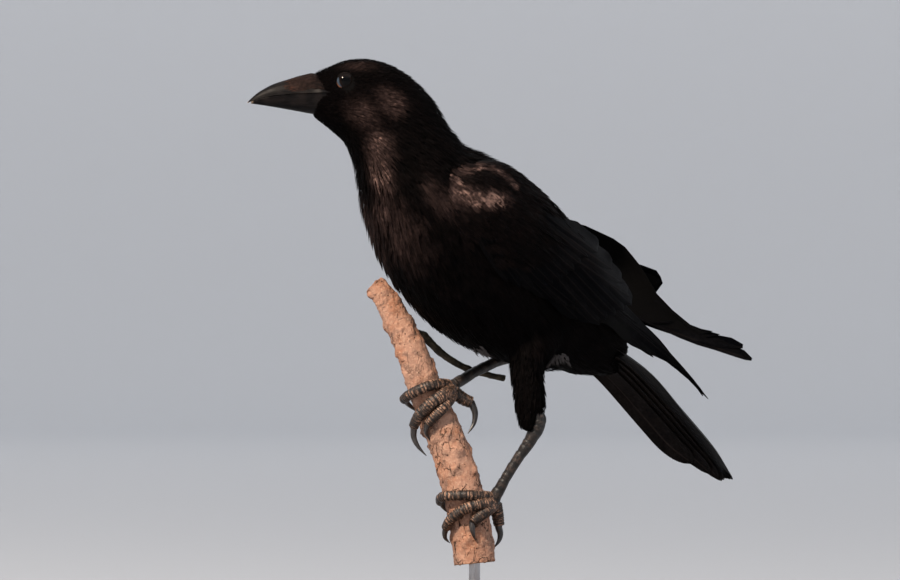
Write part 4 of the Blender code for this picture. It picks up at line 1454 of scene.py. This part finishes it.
# Angle about the branch, height, space off the bark and radius.
TOES = {
    "left": {
        "inner": ((-8, 78.5, 1.2, 4.4), (-50, 80.5, 0.4, 3.7), (-95, 80.8, 0.3, 3.6),
                  (-145, 79.5, 0.3, 3.6), (-190, 75.5, 0.2, 3.3)),
        "middle": ((-10, 75.5, 1.2, 4.4), (-50, 74.5, 1.0, 4.1), (-90, 71.5, 0.6, 3.9),
                   (-130, 64.0, 0.4, 3.7), (-158, 57.0, 1.2, 3.2)),
        "outer": ((-6, 73.5, 1.4, 4.4), (-38, 70.0, 0.7, 4.1), (-64, 65.6, 0.4, 3.9), (-82, 61.4, 0.4, 3.4)),
        "hind": ((2, 74.0, 2.2, 4.8), (12, 66.0, 3.0, 4.4), (18, 58.6, 3.6, 3.9)),
    },
    "right": {
        "outer": ((-4, 158.6, 1.0, 4.5), (-50, 160.0, 0.6, 3.9), (-95, 157.0, 0.5, 3.8),
                  (-140, 152.0, 1.2, 3.7), (-172, 148.6, 2.8, 3.5)),
        "middle": ((-8, 156.0, 1.2, 4.7), (-50, 152.6, 1.4, 4.6), (-92, 146.0, 1.0, 4.5),
                   (-130, 137.4, 2.0, 4.1), (-158, 129.2, 4.6, 3.5)),
        "inner": ((-4, 153.0, 1.2, 4.5), (-44, 147.0, 0.5, 4.0), (-84, 139.0, 0.4, 3.8),
                  (-122, 131.4, 0.4, 3.4)),
        "hind": ((6, 154.0, 2.4, 4.8), (12, 149.0, 7.5, 4.6), (14, 146.4, 13.0, 4.2)),
    },
}
CLAWS = {
    "left": {
        "inner": ((-192, 75.0, 0.6, 2.4), (-203, 72.5, 1.3, 2.1), (-214, 69.0, 1.2, 1.4),
                  (-222, 65.5, 0.1, 0.25)),
        "middle": ((-160, 56.4, 1.9, 2.5), (-166, 53.0, 3.0, 2.1), (-169, 49.6, 3.2, 1.4),
                   (-170, 46.4, 1.6, 0.25)),
        "outer": ((-83, 60.8, 0.9, 2.6), (-86, 57.0, 2.2, 2.1), (-85, 52.4, 2.2, 1.3),
                  (-80, 48.6, 0.4, 0.25)),
        "hind": ((18, 57.2, 4.0, 2.9), (19, 52.4, 5.0, 2.4), (17, 47.4, 3.8, 1.6), (12, 42.6, 0.4, 0.3)),
    },
    "right": {
        "outer": ((-175, 148.2, 3.0, 2.4), (-188, 145.6, 2.8, 2.0), (-201, 142.2, 1.6, 1.3),
                  (-212, 138.6, 0.1, 0.25)),
        "middle": ((-160, 128.0, 5.4, 2.7), (-166, 121.8, 7.4, 2.3), (-168, 115.2, 7.2, 1.6),
                   (-167, 108.6, 4.6, 0.3)),
        "inner": ((-125, 130.6, 0.6, 2.4), (-133, 127.6, 1.4, 2.0), (-141, 123.8, 1.2, 1.3),
                  (-147, 119.6, 0.1, 0.25)),
        "hind": ((15, 144.8, 14.4, 3.0), (16, 138.6, 14.4, 2.5), (16, 131.0, 10.6, 1.7),
                 (13, 124.2, 4.4, 0.3)),
    },
}
TOE_SCUTES = {"inner": 22, "middle": 26, "outer": 20, "hind": 13}
# Which way the shanks' large plates face.
SHANK_FRONT = (-0.75, -0.65, 0.1)

# Middle lines and radii of the branch and its twig.
PERCH = (
    (-72.6, 22.3, 230.4, 7.2), (-63.5, 20.5, 220.0, 8.7), (-54.3, 19.0, 202.1, 9.8),
    (-45.6, 17.0, 184.3, 10.9), (-36.8, 15.0, 159.3, 12.0), (-25.6, 11.5, 132.1, 12.8),
    (-18.0, 9.5, 112.9, 13.6), (-8.6, 6.5, 82.1, 14.2), (-2.8, 4.2, 54.0, 14.5), (-0.4, 3.0, 32.0, 14.6),
)
TWIG = (
    (-48, 18, 186, 4.4), (-42, 24, 194.3, 3.6), (-36, 30, 193, 3.0), (-24.3, 38, 181.8, 2.6),
    (-10.2, 45, 172.6, 2.4), (3.8, 50, 167.4, 2.2), (21.2, 54, 163.2, 2.1),
)
BASE_SIDES = 160
BASE_ROUNDING = 2.2
ROD_SIDES = 64
COLLAR_HEIGHT = 2.4
COLLAR_ROUNDING = 0.4


def perch_at(height):
    """The branch's middle and radius at a height."""
    x, y, heights, radii = np.array(PERCH)[::-1].T
    middle = np.array((np.interp(height, heights, x), np.interp(height, heights, y), height))
    return middle, np.interp(height, heights, radii)


def digit_path(joints, count):
    """The smoothed middle line and radii of a toe or claw that lies round the branch."""
    rows = []
    for angle, height, clear, radius in joints:
        middle, bark = perch_at(height)
        rows.append((*(middle + direction(angle) * (bark + clear + radius)), radius))
    rows = curve_through(rows, count)
    return rows[:, :3], rows[:, 3]


def scaled_tube(path, radii, scutes, outwards, sides=20):
    """A toe or shank with overlapping plates along the side that faces outwards, and
    rounded pads on the other."""
    rows = len(path)
    share = np.linspace(0, 1, rows)
    _, around = ways_round(path, sides)
    facing = (around * outwards[:, None]).sum(-1)
    even = share * scutes
    counted = even + 0.22 * np.sin(even * 1.9 + 1.0) + 0.3 * np.sin(even * 0.83)
    plate = counted % 1.0
    rise = smoothstep(0.0, 0.16, plate) * (1 - 0.55 * smoothstep(0.25, 1.0, plate))
    pads = np.abs(np.sin(even * 0.42 * math.pi)) ** 0.6
    top = smoothstep(-0.25, 0.35, facing)
    swell = 0.13 * rise[:, None] * top + (0.10 * pads[:, None] - 0.03) * (1 - top)
    radius = radii[:, None] * (0.93 + swell)
    closing = np.sqrt(np.clip(np.minimum(share, 1 - share)[:, None] * rows * 0.45, 0.05, 1))
    rings = path[:, None] + around * (radius * closing)[..., None]
    bm = tube(rings)
    layer = bm.loops.layers.uv.active
    for face in bm.faces:
        for loop in face.loops:
            loop[layer].uv.y = np.interp(loop[layer].uv.y, share, counted)
    return bm


def outward_from_perch(path):
    return unit(np.array([point - perch_at(point[2])[0] for point in path]))


def make_foot(side, finish):
    bm = bmesh.new()
    for digit, joints in TOES[side].items():
        scutes = TOE_SCUTES[digit]
        path, radii = digit_path(joints, scutes * 7)
        out = outward_from_perch(path)
        if digit == "hind":
            out = unit(out + UP * 0.2)
        join_into(bm, scaled_tube(path, radii, scutes, out))
    return object_from("foot_" + side + "_scaled", bm, finish)


def make_shank(side, finish):
    rows = curve_through(TARSI[side], SHANK_SCUTES * 9)
    path, radii = rows[:, :3], rows[:, 3]
    ahead = np.broadcast_to(unit(np.array(SHANK_FRONT)), path.shape)
    along, _, _ = path_frames(path)
    front = unit(ahead - (ahead * along).sum(1, keepdims=True) * along)
    bm = scaled_tube(path, radii, SHANK_SCUTES, front, 24)
    return object_from("tarsus_" + side + "_scaled", bm, finish)


def make_claws(side, finish):
    bm = bmesh.new()
    for digit, joints in CLAWS[side].items():
        angle, height, clear, radius = TOES[side][digit][-1]
        base = joints[0][3]
        path, radii = digit_path(((angle, height, clear + radius - base, base), *joints), 30)
        rings = round_rings(path, radii, 14, oval=0.10)
        join_into(bm, tube(rings))
    return object_from("claws_" + side, bm, finish)


def barky(bm, size, seed):
    """Pushes a branch's skin in and out: slow swells, warts and small cracks."""
    bm.normal_update()
    for vertex in bm.verts:
        spot = vertex.co + Vector((seed, 0, 0))
        swell = noise.noise(spot * 0.045) * 1.0
        wart = max(noise.noise(spot * 0.13) - 0.14, 0.0) * 6.0
        knob = max(noise.noise(spot * 0.42 + Vector((7, 3, 1))) - 0.22, 0.0) * 3.2
        fine = noise.fractal(spot * 0.55, 1.0, 2.0, 4) * 0.38
        stretched = Vector((spot.x * 0.34, spot.y * 0.34, spot.z * 0.10))
        crack = max(1 - abs(noise.noise(stretched)) / 0.10, 0)
        vertex.co += vertex.normal * size * (swell + wart + knob + fine - 0.75 * crack)


def make_branch(name, table, rows, sides, size, seed, finish, sawn):
    """A branch with warty bark and flat sawn ends."""
    curve = curve_through(table, rows)
    bm = tube(round_rings(curve[:, :3], curve[:, 3], sides))
    caps = [face for face in bm.faces if len(face.verts) > 4]
    barky(bm, size, seed)
    for cap in caps:
        bmesh.ops.inset_individual(bm, faces=[cap], thickness=curve[0, 3] * 0.12, depth=0.25)
        cap.material_index = 1
    piece = object_from(name, bm, finish, sharp=48)
    piece.data.materials.append(sawn)
    return piece


def add_disc(bm, middle, low, high, depth, sides, rounding=0.0, steps=3):
    """A round bar standing up, given by its two radii, with rounded rims if asked."""
    disc = bmesh.new()
    bmesh.ops.create_cone(
        disc, cap_ends=True, segments=sides, radius1=low, radius2=high, depth=depth
    )
    if rounding:
        rims = [edge for edge in disc.edges if abs(edge.verts[0].co.z - edge.verts[1].co.z) < 0.1]
        bmesh.ops.bevel(
            disc, geom=rims, offset=rounding, segments=steps, profile=0.5, affect="EDGES", material=-1
        )
    bmesh.ops.translate(disc, vec=Vector(middle), verts=disc.verts)
    join_into(bm, disc)


def upright(node):
    """Middle, radius and height of a round CAD node, and the height of its foot."""
    low, high = (np.array(corner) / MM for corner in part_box(node))
    return (low + high) / 2, (high[0] - low[0]) / 2, high[2] - low[2], low[2]


def make_base(finish):
    middle, radius, depth, _ = upright("stand_base")
    bm = bmesh.new()
    add_disc(bm, middle, radius, radius, depth, BASE_SIDES, BASE_ROUNDING, 5)
    return object_from("stand_base_turned", bm, finish, sharp=40)


def make_rod(finish):
    """The rod, with a collar where it enters the base."""
    middle, radius, depth, foot = upright("stand_rod")
    bm = bmesh.new()
    add_disc(bm, middle, radius, radius, depth, ROD_SIDES)
    collar = (middle[0], middle[1], foot + COLLAR_HEIGHT / 2)
    add_disc(bm, collar, radius * 2.2, radius * 2.0, COLLAR_HEIGHT, ROD_SIDES, COLLAR_ROUNDING)
    return object_from("stand_rod_turned", bm, finish, sharp=40)


# ---------------------------------------------------------------- settings

class CoatSettings(bpy.types.PropertyGroup):
    density: FloatProperty(
        name="Feather spacing", description="Spacing of the body feathers, against the usual one",
        default=1.0, min=0.5, max=3.0,
    )
    head_length: FloatProperty(
        name="Head feathers", description="Length of the feathers by the bill",
        default=3.2 * MM, unit="LENGTH", subtype="DISTANCE",
    )
    body_length: FloatProperty(
        name="Body feathers", description="Length of the feathers on the back and flanks",
        default=19.0 * MM, unit="LENGTH", subtype="DISTANCE",
    )
    dark: FloatVectorProperty(
        name="Feather black", description="Darkest colour of the plumage", subtype="COLOR",
        size=3, default=(0.0012, 0.0010, 0.0011), min=0.0, max=1.0,
    )
    # Feather brown is partly the real worn plumage and partly painted sunlight on the lit cheek and throat.
    light: FloatVectorProperty(
        name="Feather brown", description="Colour of the worn, brownish feathers", subtype="COLOR",
        size=3, default=(0.040, 0.025, 0.0225), min=0.0, max=1.0,
    )
    # Feather buff is painted highlight: the sunlit patch over the wrist and the lit arc of scapulars.
    pale: FloatVectorProperty(
        name="Feather buff", description="Colour of the palest feathers, on the shoulder",
        subtype="COLOR", size=3, default=(0.20, 0.125, 0.105), min=0.0, max=1.0,
    )


class StageSettings(bpy.types.PropertyGroup):
    lens: FloatProperty(
        name="Lens", description="Focal length of the camera in millimetres", default=280.0,
        unit="CAMERA",
    )
    distance: FloatProperty(
        name="Camera distance", description="From the camera to the bird", default=5.0,
        unit="LENGTH", subtype="DISTANCE",
    )
    key_power: FloatProperty(
        name="Key light", description="Power of the warm key light in watts", default=380.0,
        unit="POWER",
    )
    sky: FloatProperty(
        name="Sky", description="Strength of the light from all round", default=1.0
    )
    room: FloatProperty(
        name="Studio radius", description="Radius of the round pale studio", default=9.6,
        unit="LENGTH", subtype="DISTANCE",
    )


# ---------------------------------------------------------------- operators

def clear_of_bare_parts(points):
    """0 over the eyes, the heel and the corner of the gape, where no feather is rooted."""
    keep = np.ones(len(points))
    for centre, gaze in eye_axes():
        flat, facing = round_eye(points, centre, gaze)
        keep *= ~((np.linalg.norm(flat, axis=1) < EYE_BARE) & facing)
    keep *= np.linalg.norm(points - np.array(HEEL), axis=1) > HEEL_BARE
    heights, edges = BARE_LINE
    return keep * (points[:, 0] > np.interp(points[:, 2], heights, edges))


class CROW_OT_skin(bpy.types.Operator):
    """Builds the one skin that replaces the flesh, and what the coat is laid on"""

    bl_idname = "crow.skin"
    bl_label = "Skin"

    def execute(self, context):
        whole = smoothed(remeshed_flesh(), 4)
        whole.vertices.foreach_set("co", (drawn_in(Surface(whole).points) * MM).ravel())
        whole.update()
        Shared.coat = Surface(whole)
        skin = whole.copy()
        points = Shared.coat.points
        inner = points - Shared.coat.normals * coat_depth(points)[:, None]
        skin.vertices.foreach_set("co", (inner * MM).ravel())
        smoothed(skin, 3)
        skin.shade_smooth()
        skin.materials.append(skin_finish())
        add_tint(skin, np.clip(brown_and_sunlit_share(inner), 0, 2))
        piece = linked("skin", skin)
        bpy.data.meshes.remove(whole)
        context.view_layer.objects.active = piece
        piece.select_set(True)
        bpy.ops.object.mode_set(mode="EDIT")
        bpy.ops.mesh.select_all(action="SELECT")
        bpy.ops.uv.smart_project(angle_limit=math.radians(66), island_margin=0.002)
        bpy.ops.object.mode_set(mode="OBJECT")
        piece.select_set(False)
        skin.uv_layers.active.name = "OFBake"
        Shared.skin = Surface(skin)
        Shared.skin_uv = read(skin.uv_layers.active.data, "uv", width=2)
        hand_over(piece, "plumage", *FLESH)
        return {"FINISHED"}


# Spacing of the feathers at places along the bird, and on the thighs.
SPACING = ((0, 1, 2, 4, 6, 8, 10, 13, 17), (0.66, 0.72, 0.88, 1.25, 1.9, 2.7, 3.8, 4.2, 3.6))
THIGH_SPACING = 2.6
# Half widths and lifts at places along the bird, and lengths and half widths on the thighs.
# Lengths come from the settings' head feathers, up to the third place, and body feathers.
PLACES = (0, 1, 2, 4, 6, 8, 10, 13, 15, 17)
HEAD_LENGTHS = (1.0, 1.15, 1.4)
NECK_LENGTHS = (7.0, 10.5, 13.5)
BODY_LENGTHS = (0.9, 1.0, 1.15, 1.2)
HALF_WIDTHS = (0.36, 0.42, 0.52, 0.9, 1.5, 2.4, 4.0, 4.7, 4.6, 4.0)
LIFTS = (0.25, 0.3, 0.35, 0.5, 0.7, 0.7, 0.3, 0.3, 0.5, 0.6)
THIGH_LENGTH = 9.0
THIGH_HALF_WIDTH = 1.9
# How much longer and more lifted the feathers of the throat and over the bill are.
THROAT_LONGER = 0.25
THROAT_NARROWER = 0.35
THROAT_LIFT = 0.5
BROW_LONGER = 0.35
BROW_LIFT = 1.2
# How near to a wing no body feather is rooted, and how feathers differ in size.
WING_CLEARANCE = 1.4
SIZE_SPREAD = 0.12
# Distances from the wrist, and the spacing, length and half width of the coverts there.
COVERT_REACH = (-5, 10, 45, 80)
COVERT_SPACING = (1.8, 2.4, 3.8, 4.6)
COVERT_LENGTHS = (7.0, 9.0, 14.0, 20.0)
COVERT_HALF_WIDTHS = (1.8, 2.4, 4.2, 6.0)
# How far from the wrist they reach: in all, less along the lower edge, more by the upper.
COVERT_EDGE = (60.0, 12.0, 28.0)
# How they sink and lift by the wrist, and how much higher they lie over the long feathers.
COVERT_SINK = 1.2
COVERT_LIFT = 0.5
COVERT_RISE = (2.7, 2.3)
# The feathers that bridge body and wing.
SHOULDER_SPACING = 2.5
SHOULDER_LENGTH = 12.0


def settings_colours(made):
    return tuple(made.dark), tuple(made.light), tuple(made.pale)


def sizes_of(seed, count):
    return 1 + SIZE_SPREAD * np.random.default_rng(seed).normal(size=count)


class CROW_OT_coat(bpy.types.Operator):
    """Lays the soft feathers of the head, neck, body and thighs"""

    bl_idname = "crow.coat"
    bl_label = "Coat"

    def execute(self, context):
        made = context.scene.crow_coat
        colours = settings_colours(made)
        head_fin = feather_finish("feather_head", colours, 0.5, barbs=2.0, gloss=0.012)
        body_fin = feather_finish("feather_body", colours, 0.5, gloss=0.014)
        wings = [Surface(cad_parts[name].data) for name in ("wing_left", "wing_right")]

        def spacing(points):
            place, _ = body_place(points)
            share, _ = thigh_share(points)
            return (np.interp(place, *SPACING) * (1 - share) + THIGH_SPACING * share) * made.density

        def uncovered(points):
            keep = clear_of_bare_parts(points)
            for wing in wings:
                keep = keep * ~(wing.distance(points) < WING_CLEARANCE)
            return keep

        roots = scatter(Shared.coat, spacing, uncovered, SEED)
        place, angle = body_place(roots)
        share, _ = thigh_share(roots)
        on_leg = share > 0.4
        throat = smoothstep(-5, -40, angle) * smoothstep(3.0, 5.0, place) * smoothstep(10.5, 8.0, place)
        brow = smoothstep(1.0, 0.0, place) * smoothstep(30, 60, angle) * smoothstep(150, 120, angle)
        lengths = (
            *(made.head_length / MM * scale for scale in HEAD_LENGTHS), *NECK_LENGTHS,
            *(made.body_length / MM * scale for scale in BODY_LENGTHS),
        )
        length = np.interp(place, PLACES, lengths) * (1 + THROAT_LONGER * throat)
        length = np.where(on_leg, THIGH_LENGTH, length) * (1 + BROW_LONGER * brow)
        half = np.interp(place, PLACES, HALF_WIDTHS) * (1 - THROAT_NARROWER * throat)
        half = np.where(on_leg, THIGH_HALF_WIDTH, half)
        lift = np.interp(place, PLACES, LIFTS) + THROAT_LIFT * throat + BROW_LIFT * brow
        depth = coat_depth(roots)
        body = (place >= 9.0) & ~on_leg
        breast = body & (angle < 0) & (place < 12.5)
        groups = (
            ("coat_face", (place < 2.0) & ~on_leg, Coat(2, 5, 0.45, 0.25), head_fin, 0.10),
            ("coat_head", (place >= 2.0) & (place < 4.6) & ~on_leg, Coat(3, 5, 0.45, 0.28), head_fin, 0.14),
            ("coat_neck", (place >= 4.6) & (place < 9.0) & ~on_leg, Coat(5, 7, 0.45, 0.28), body_fin, 0.12),
            ("coat_front", breast & (angle > -180), Coat(7, 7, 0.50, 0.16), body_fin, 0.13),
            ("coat_back", body & ~breast, Coat(7, 7, 0.50, 0.16), body_fin, 0.10),
            ("coat_thighs", on_leg, Coat(4, 5, 0.4, 0.3), body_fin, 0.16),
        )
        for number, (name, chosen, coat, finish, waver) in enumerate(groups):
            size = sizes_of(SEED + number, chosen.sum())
            build_soft(
                name, finish, roots[chosen], length[chosen] * size, half[chosen] * size, coat,
                SEED + 10 + number, sink=depth[chosen] * 0.8, lift=lift[chosen],
                brown=brown_and_sunlit_share(roots[chosen]), waver=waver,
            )
        build_down("coat_down", feather_finish("feather_down", DOWN_COLOURS, 0.6), SEED + 40)
        stiff = feather_finish("feather_bristle", BRISTLE_COLOURS, 0.46, barbs=2.0)
        build_bristles("bristles", stiff, SEED + 31)
        return {"FINISHED"}


def build_down(name, material, seed):
    """Loose grey down that stands out by the roots of the legs."""
    rng = np.random.default_rng(seed)
    spots, _, _ = Shared.coat.nearest(np.concatenate([
        np.array(middle) + rng.normal(0, 1, (count, 3)) * spread for middle, spread, count in DOWN
    ]))
    count = len(spots)
    return build_soft(
        name, material, spots, rng.uniform(6, 10, count), rng.uniform(0.8, 1.4, count),
        Coat(4, 5, 0.3, 0.4), seed + 1, sink=np.full(count, 0.5),
        lift=rng.uniform(1.5, 3.2, count), brown=np.full(count, 0.8), waver=0.5,
    )


def build_coverts(name, node, side, material):
    """The small coverts of one wing, raised over the roots of the long feathers."""
    def spacing(points):
        return np.interp(wing_reach(points), COVERT_REACH, COVERT_SPACING)

    def outer_front(points):
        _, out, _ = body_parts(points)
        across = wing_across(points)
        outer = Shared.coat.distance(points) > 3.0
        usual, lower, upper = COVERT_EDGE
        edge = usual - lower * smoothstep(0, -40, across) + upper * smoothstep(8, 34, across)
        return (wing_reach(points) < edge) & outer & (out * side > 8)

    roots = scatter(node, spacing, outer_front, SEED + 50 + side)
    reach = wing_reach(roots)
    size = sizes_of(SEED + side, len(roots))
    raised = smoothstep(4, 20, reach) * smoothstep(20, 8, wing_across(roots))
    return build_soft(
        name, material, roots, np.interp(reach, COVERT_REACH, COVERT_LENGTHS) * size,
        np.interp(reach, COVERT_REACH, COVERT_HALF_WIDTHS) * size, Coat(7, 6, 0.6, 0.10),
        SEED + 60 + side, sink=COVERT_SINK - COVERT_RISE[0] * raised,
        lift=COVERT_LIFT + COVERT_RISE[1] * raised, brown=wing_brown_and_highlight(roots), slot="flight_feather",
        waver=0.08, surface=node, lie=lie_of_wing, pointed=0.30,
    )


def build_shoulder(name, node, over, side, material):
    """The feathers in front of one wing, laid over body and wing alike."""
    def before_wing(points):
        _, out, height = body_parts(points)
        near = (node.distance(points) < 9.0) & (wing_reach(points) < 12)
        return near & (height < 318) & (height > 232) & (out * side > 16)

    def spacing(points):
        return np.full(len(points), SHOULDER_SPACING)

    roots = scatter(over, spacing, before_wing, SEED + 70 + side)
    size = sizes_of(SEED + 72 + side, len(roots))
    return build_soft(
        name, material, roots, SHOULDER_LENGTH * size, 2.5 * size, Coat(6, 6, 0.5, 0.2),
        SEED + 74 + side, sink=np.full(len(roots), 0.9), lift=np.full(len(roots), 1.3),
        brown=np.maximum(brown_and_sunlit_share(roots), 0.04), surface=over, lie=lie_of_shoulder,
    )


class CROW_OT_wings(bpy.types.Operator):
    """Builds both folded wings, feather by feather, over a dark lining"""

    bl_idname = "crow.wings"
    bl_label = "Wings"

    def execute(self, context):
        colours = settings_colours(context.scene.crow_coat)
        vane = feather_finish("feather_flight", FLIGHT_COLOURS, 0.5, shaft=0.15, gloss=0.012)
        covert = feather_finish("feather_covert", colours, 0.46, gloss=0.016)
        relief = Relief(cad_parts["wing_left"])
        whole = smoothed(remeshed_flesh("wing_left", "wing_right"), 4)
        over = Surface(whole)
        bpy.data.meshes.remove(whole)
        for side, name in ((1, "wing_left"), (-1, "wing_right")):
            points, faces, maps, tint = wing_vanes(relief, side)
            hand_over(object_of(name + "_vanes", points, faces, vane, maps, tint), "flight_feather")
            lining = wing_lining(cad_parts[name], side, skin_finish(), name + "_lining")
            hand_over(lining, "flight_feather", name)
            node = Surface(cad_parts[name].data)
            build_coverts(name + "_coverts", node, side, covert)
            build_shoulder("coat_shoulder_" + name[5:], node, over, side, covert)
        return {"FINISHED"}


class CROW_OT_tail(bpy.types.Operator):
    """Builds the folded tail"""

    bl_idname = "crow.tail"
    bl_label = "Tail"

    def execute(self, context):
        finish = feather_finish("feather_tail", TAIL_COLOURS, 0.42, shaft=0.7, gloss=0.038)
        points, faces, maps, tint = tail_vanes()
        hand_over(object_of("tail_vanes", points, faces, finish, maps, tint), "flight_feather", "tail")
        return {"FINISHED"}


class CROW_OT_face(bpy.types.Operator):
    """Builds the bill, the eyes and the eyelids"""

    bl_idname = "crow.face"
    bl_label = "Bill and eyes"

    def execute(self, context):
        horn = bill_finish()
        for upper, node in ((True, "bill_upper"), (False, "bill_lower")):
            piece = object_from(node + "_horn", tube(bill_rings(upper)), horn, sharp=55)
            hand_over(piece, "bill_horn", node)
        wet, rim = eye_finish(), lid_finish()
        for side, (centre, gaze) in zip(("left", "right"), eye_axes()):
            hand_over(make_eye("eyeball_" + side, centre, gaze, wet), "eye", "eye_" + side)
            hand_over(make_lid("eyelid_" + side, centre, gaze, rim), "leg_scale")
        return {"FINISHED"}


class CROW_OT_legs(bpy.types.Operator):
    """Builds the scaled shanks and toes, and the claws"""

    bl_idname = "crow.legs"
    bl_label = "Legs"

    def execute(self, context):
        toe = scale_finish("toe_scales", (0.38, 0.215, 0.14), (0.010, 0.0075, 0.0065), 0.40)
        shank = scale_finish("shank_scales", (0.060, 0.042, 0.034), (0.009, 0.0075, 0.007), 0.32)
        horn = claw_finish()
        for side in ("left", "right"):
            hand_over(make_shank(side, shank), "leg_scale", "tarsus_" + side)
            hand_over(make_foot(side, toe), "leg_scale", "foot_" + side)
            claws = [f"claw_{side}_{digit}" for digit in CLAWS[side]]
            hand_over(make_claws(side, horn), "claw_horn", *claws)
        return {"FINISHED"}


class CROW_OT_stand(bpy.types.Operator):
    """Builds the branch, its twig and the display stand"""

    bl_idname = "crow.stand"
    bl_label = "Branch and stand"

    def execute(self, context):
        sawn = sawn_finish()
        branch = make_branch("branch", PERCH, 260, 84, 0.55, 3.0, bark_finish(), sawn)
        hand_over(branch, "bark", "perch")
        hand_over(make_branch("twig", TWIG, 70, 20, 0.22, 9.0, twig_finish(), sawn), "bark")
        hand_over(make_base(base_finish()), "base_wood", "stand_base")
        hand_over(make_rod(rod_finish()), "rod_steel", "stand_rod")
        return {"FINISHED"}


# The studio in metres: radius of the cove between floor and wall, and height of the wall.
COVE = 3.4
WALL_HEIGHT = 8.0
COVE_STEPS = 16
KEY_PLACE = (-2.1, -2.84, 3.64)
KEY_AIM = (0.0, 0.0, 0.26)
KEY_SIZE = 0.5
KEY_COLOUR = (1.0, 0.84, 0.68)
SKY_COLOUR = (0.90, 0.95, 1.0, 1.0)
CAMERA_X = -0.0179
CAMERA_HEIGHT = 0.2271


def studio_finish():
    """Pale grey, with painted shade on the floor by the model to even out the light pooling there,
    and paler up the wall.
    """
    finish = Finish("studio", 0.95, specular=0.1)
    x, y, height = finish.split(finish.place())
    # Painted shade: the floor is darker by the model, where the lamps' light pools.
    away = finish.ramp(finish.length(x, y), 0.0, 5.5)
    floor = finish.mix(away, (0.33, 0.35, 0.385), (0.50, 0.51, 0.535))
    finish.colour(finish.mix(finish.ramp(height, 0.1, 2.5), floor, (0.72, 0.735, 0.77)))
    return finish.material


def make_studio(radius):
    """A round floor that curves up into a wall."""
    bm = bmesh.new()
    rim = radius - COVE
    profile = [(0.0, 0.0), (rim * 0.5, 0.0), (rim, 0.0)]
    for i in range(1, COVE_STEPS + 1):
        turn = math.pi / 2 * i / COVE_STEPS
        profile.append((rim + COVE * math.sin(turn), COVE - COVE * math.cos(turn)))
    profile.append((radius, WALL_HEIGHT))
    line = [bm.verts.new((x, 0.0, z)) for x, z in profile]
    edges = [bm.edges.new(pair) for pair in zip(line, line[1:])]
    bmesh.ops.spin(
        bm, geom=line + edges, axis=(0, 0, 1), cent=(0, 0, 0), steps=96, angle=2 * math.pi
    )
    bmesh.ops.remove_doubles(bm, verts=bm.verts, dist=1e-4)
    bmesh.ops.recalc_face_normals(bm, faces=bm.faces)
    bmesh.ops.reverse_faces(bm, faces=bm.faces)
    mesh = bpy.data.meshes.new("studio")
    bm.to_mesh(mesh)
    bm.free()
    mesh.shade_smooth()
    mesh.materials.append(studio_finish())
    return linked("studio", mesh)


def make_sky(strength):
    world = bpy.data.worlds.new("sky")
    world.use_nodes = True
    glow = world.node_tree.nodes["Background"]
    glow.inputs["Color"].default_value = SKY_COLOUR
    glow.inputs["Strength"].default_value = strength
    return world


def make_key(power):
    data = bpy.data.lights.new("key", "AREA")
    data.shape = "DISK"
    data.size = KEY_SIZE
    data.energy = power
    data.color = KEY_COLOUR
    lamp = linked("key", data)
    lamp.location = KEY_PLACE
    lamp.rotation_euler = (Vector(KEY_AIM) - Vector(KEY_PLACE)).to_track_quat("-Z", "Y").to_euler()
    return lamp


def make_camera(lens, distance):
    data = bpy.data.cameras.new("camera")
    data.sensor_width = 36.0
    data.lens = lens
    data.clip_end = 60.0
    camera = linked("camera", data)
    camera.location = (CAMERA_X, -distance, CAMERA_HEIGHT)
    camera.rotation_euler = (math.pi / 2, 0.0, 0.0)
    return camera


class CROW_OT_stage(bpy.types.Operator):
    """Builds the pale round studio, its light and the camera"""

    bl_idname = "crow.stage"
    bl_label = "Stage"

    def execute(self, context):
        made = context.scene.crow_stage
        scene = context.scene
        room = make_studio(made.room)
        scene.world = make_sky(made.sky)
        key = make_key(made.key_power)
        scene.camera = make_camera(made.lens, made.distance)
        scene.view_settings.view_transform = "Standard"
        return {"FINISHED"}


class CROW_PT_panel(bpy.types.Panel):
    """The crow's operators and settings"""

    bl_idname = "CROW_PT_panel"
    bl_label = "Crow"
    bl_space_type = "VIEW_3D"
    bl_region_type = "UI"
    bl_category = "Crow"

    def draw(self, context):
        column = self.layout.column(align=True)
        for operator in OPERATORS:
            column.operator(operator.bl_idname)
        for settings in (context.scene.crow_coat, context.scene.crow_stage):
            box = self.layout.box()
            for name in type(settings).__annotations__:
                box.prop(settings, name)


OPERATORS = (
    CROW_OT_skin, CROW_OT_coat, CROW_OT_wings, CROW_OT_tail, CROW_OT_face, CROW_OT_legs,
    CROW_OT_stand, CROW_OT_stage,
)
CLASSES = (CoatSettings, StageSettings, *OPERATORS, CROW_PT_panel)


def register():
    for cls in CLASSES:
        bpy.utils.register_class(cls)
    bpy.types.Scene.crow_coat = PointerProperty(type=CoatSettings)
    bpy.types.Scene.crow_stage = PointerProperty(type=StageSettings)


def unregister():
    del bpy.types.Scene.crow_stage
    del bpy.types.Scene.crow_coat
    for cls in reversed(CLASSES):
        bpy.utils.unregister_class(cls)


def main():
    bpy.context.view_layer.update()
    register()
    bpy.ops.crow.skin()
    bpy.ops.crow.coat()
    bpy.ops.crow.wings()
    bpy.ops.crow.tail()
    bpy.ops.crow.face()
    bpy.ops.crow.legs()
    bpy.ops.crow.stand()
    bpy.ops.crow.stage()


if __name__ == "__main__":
    main()
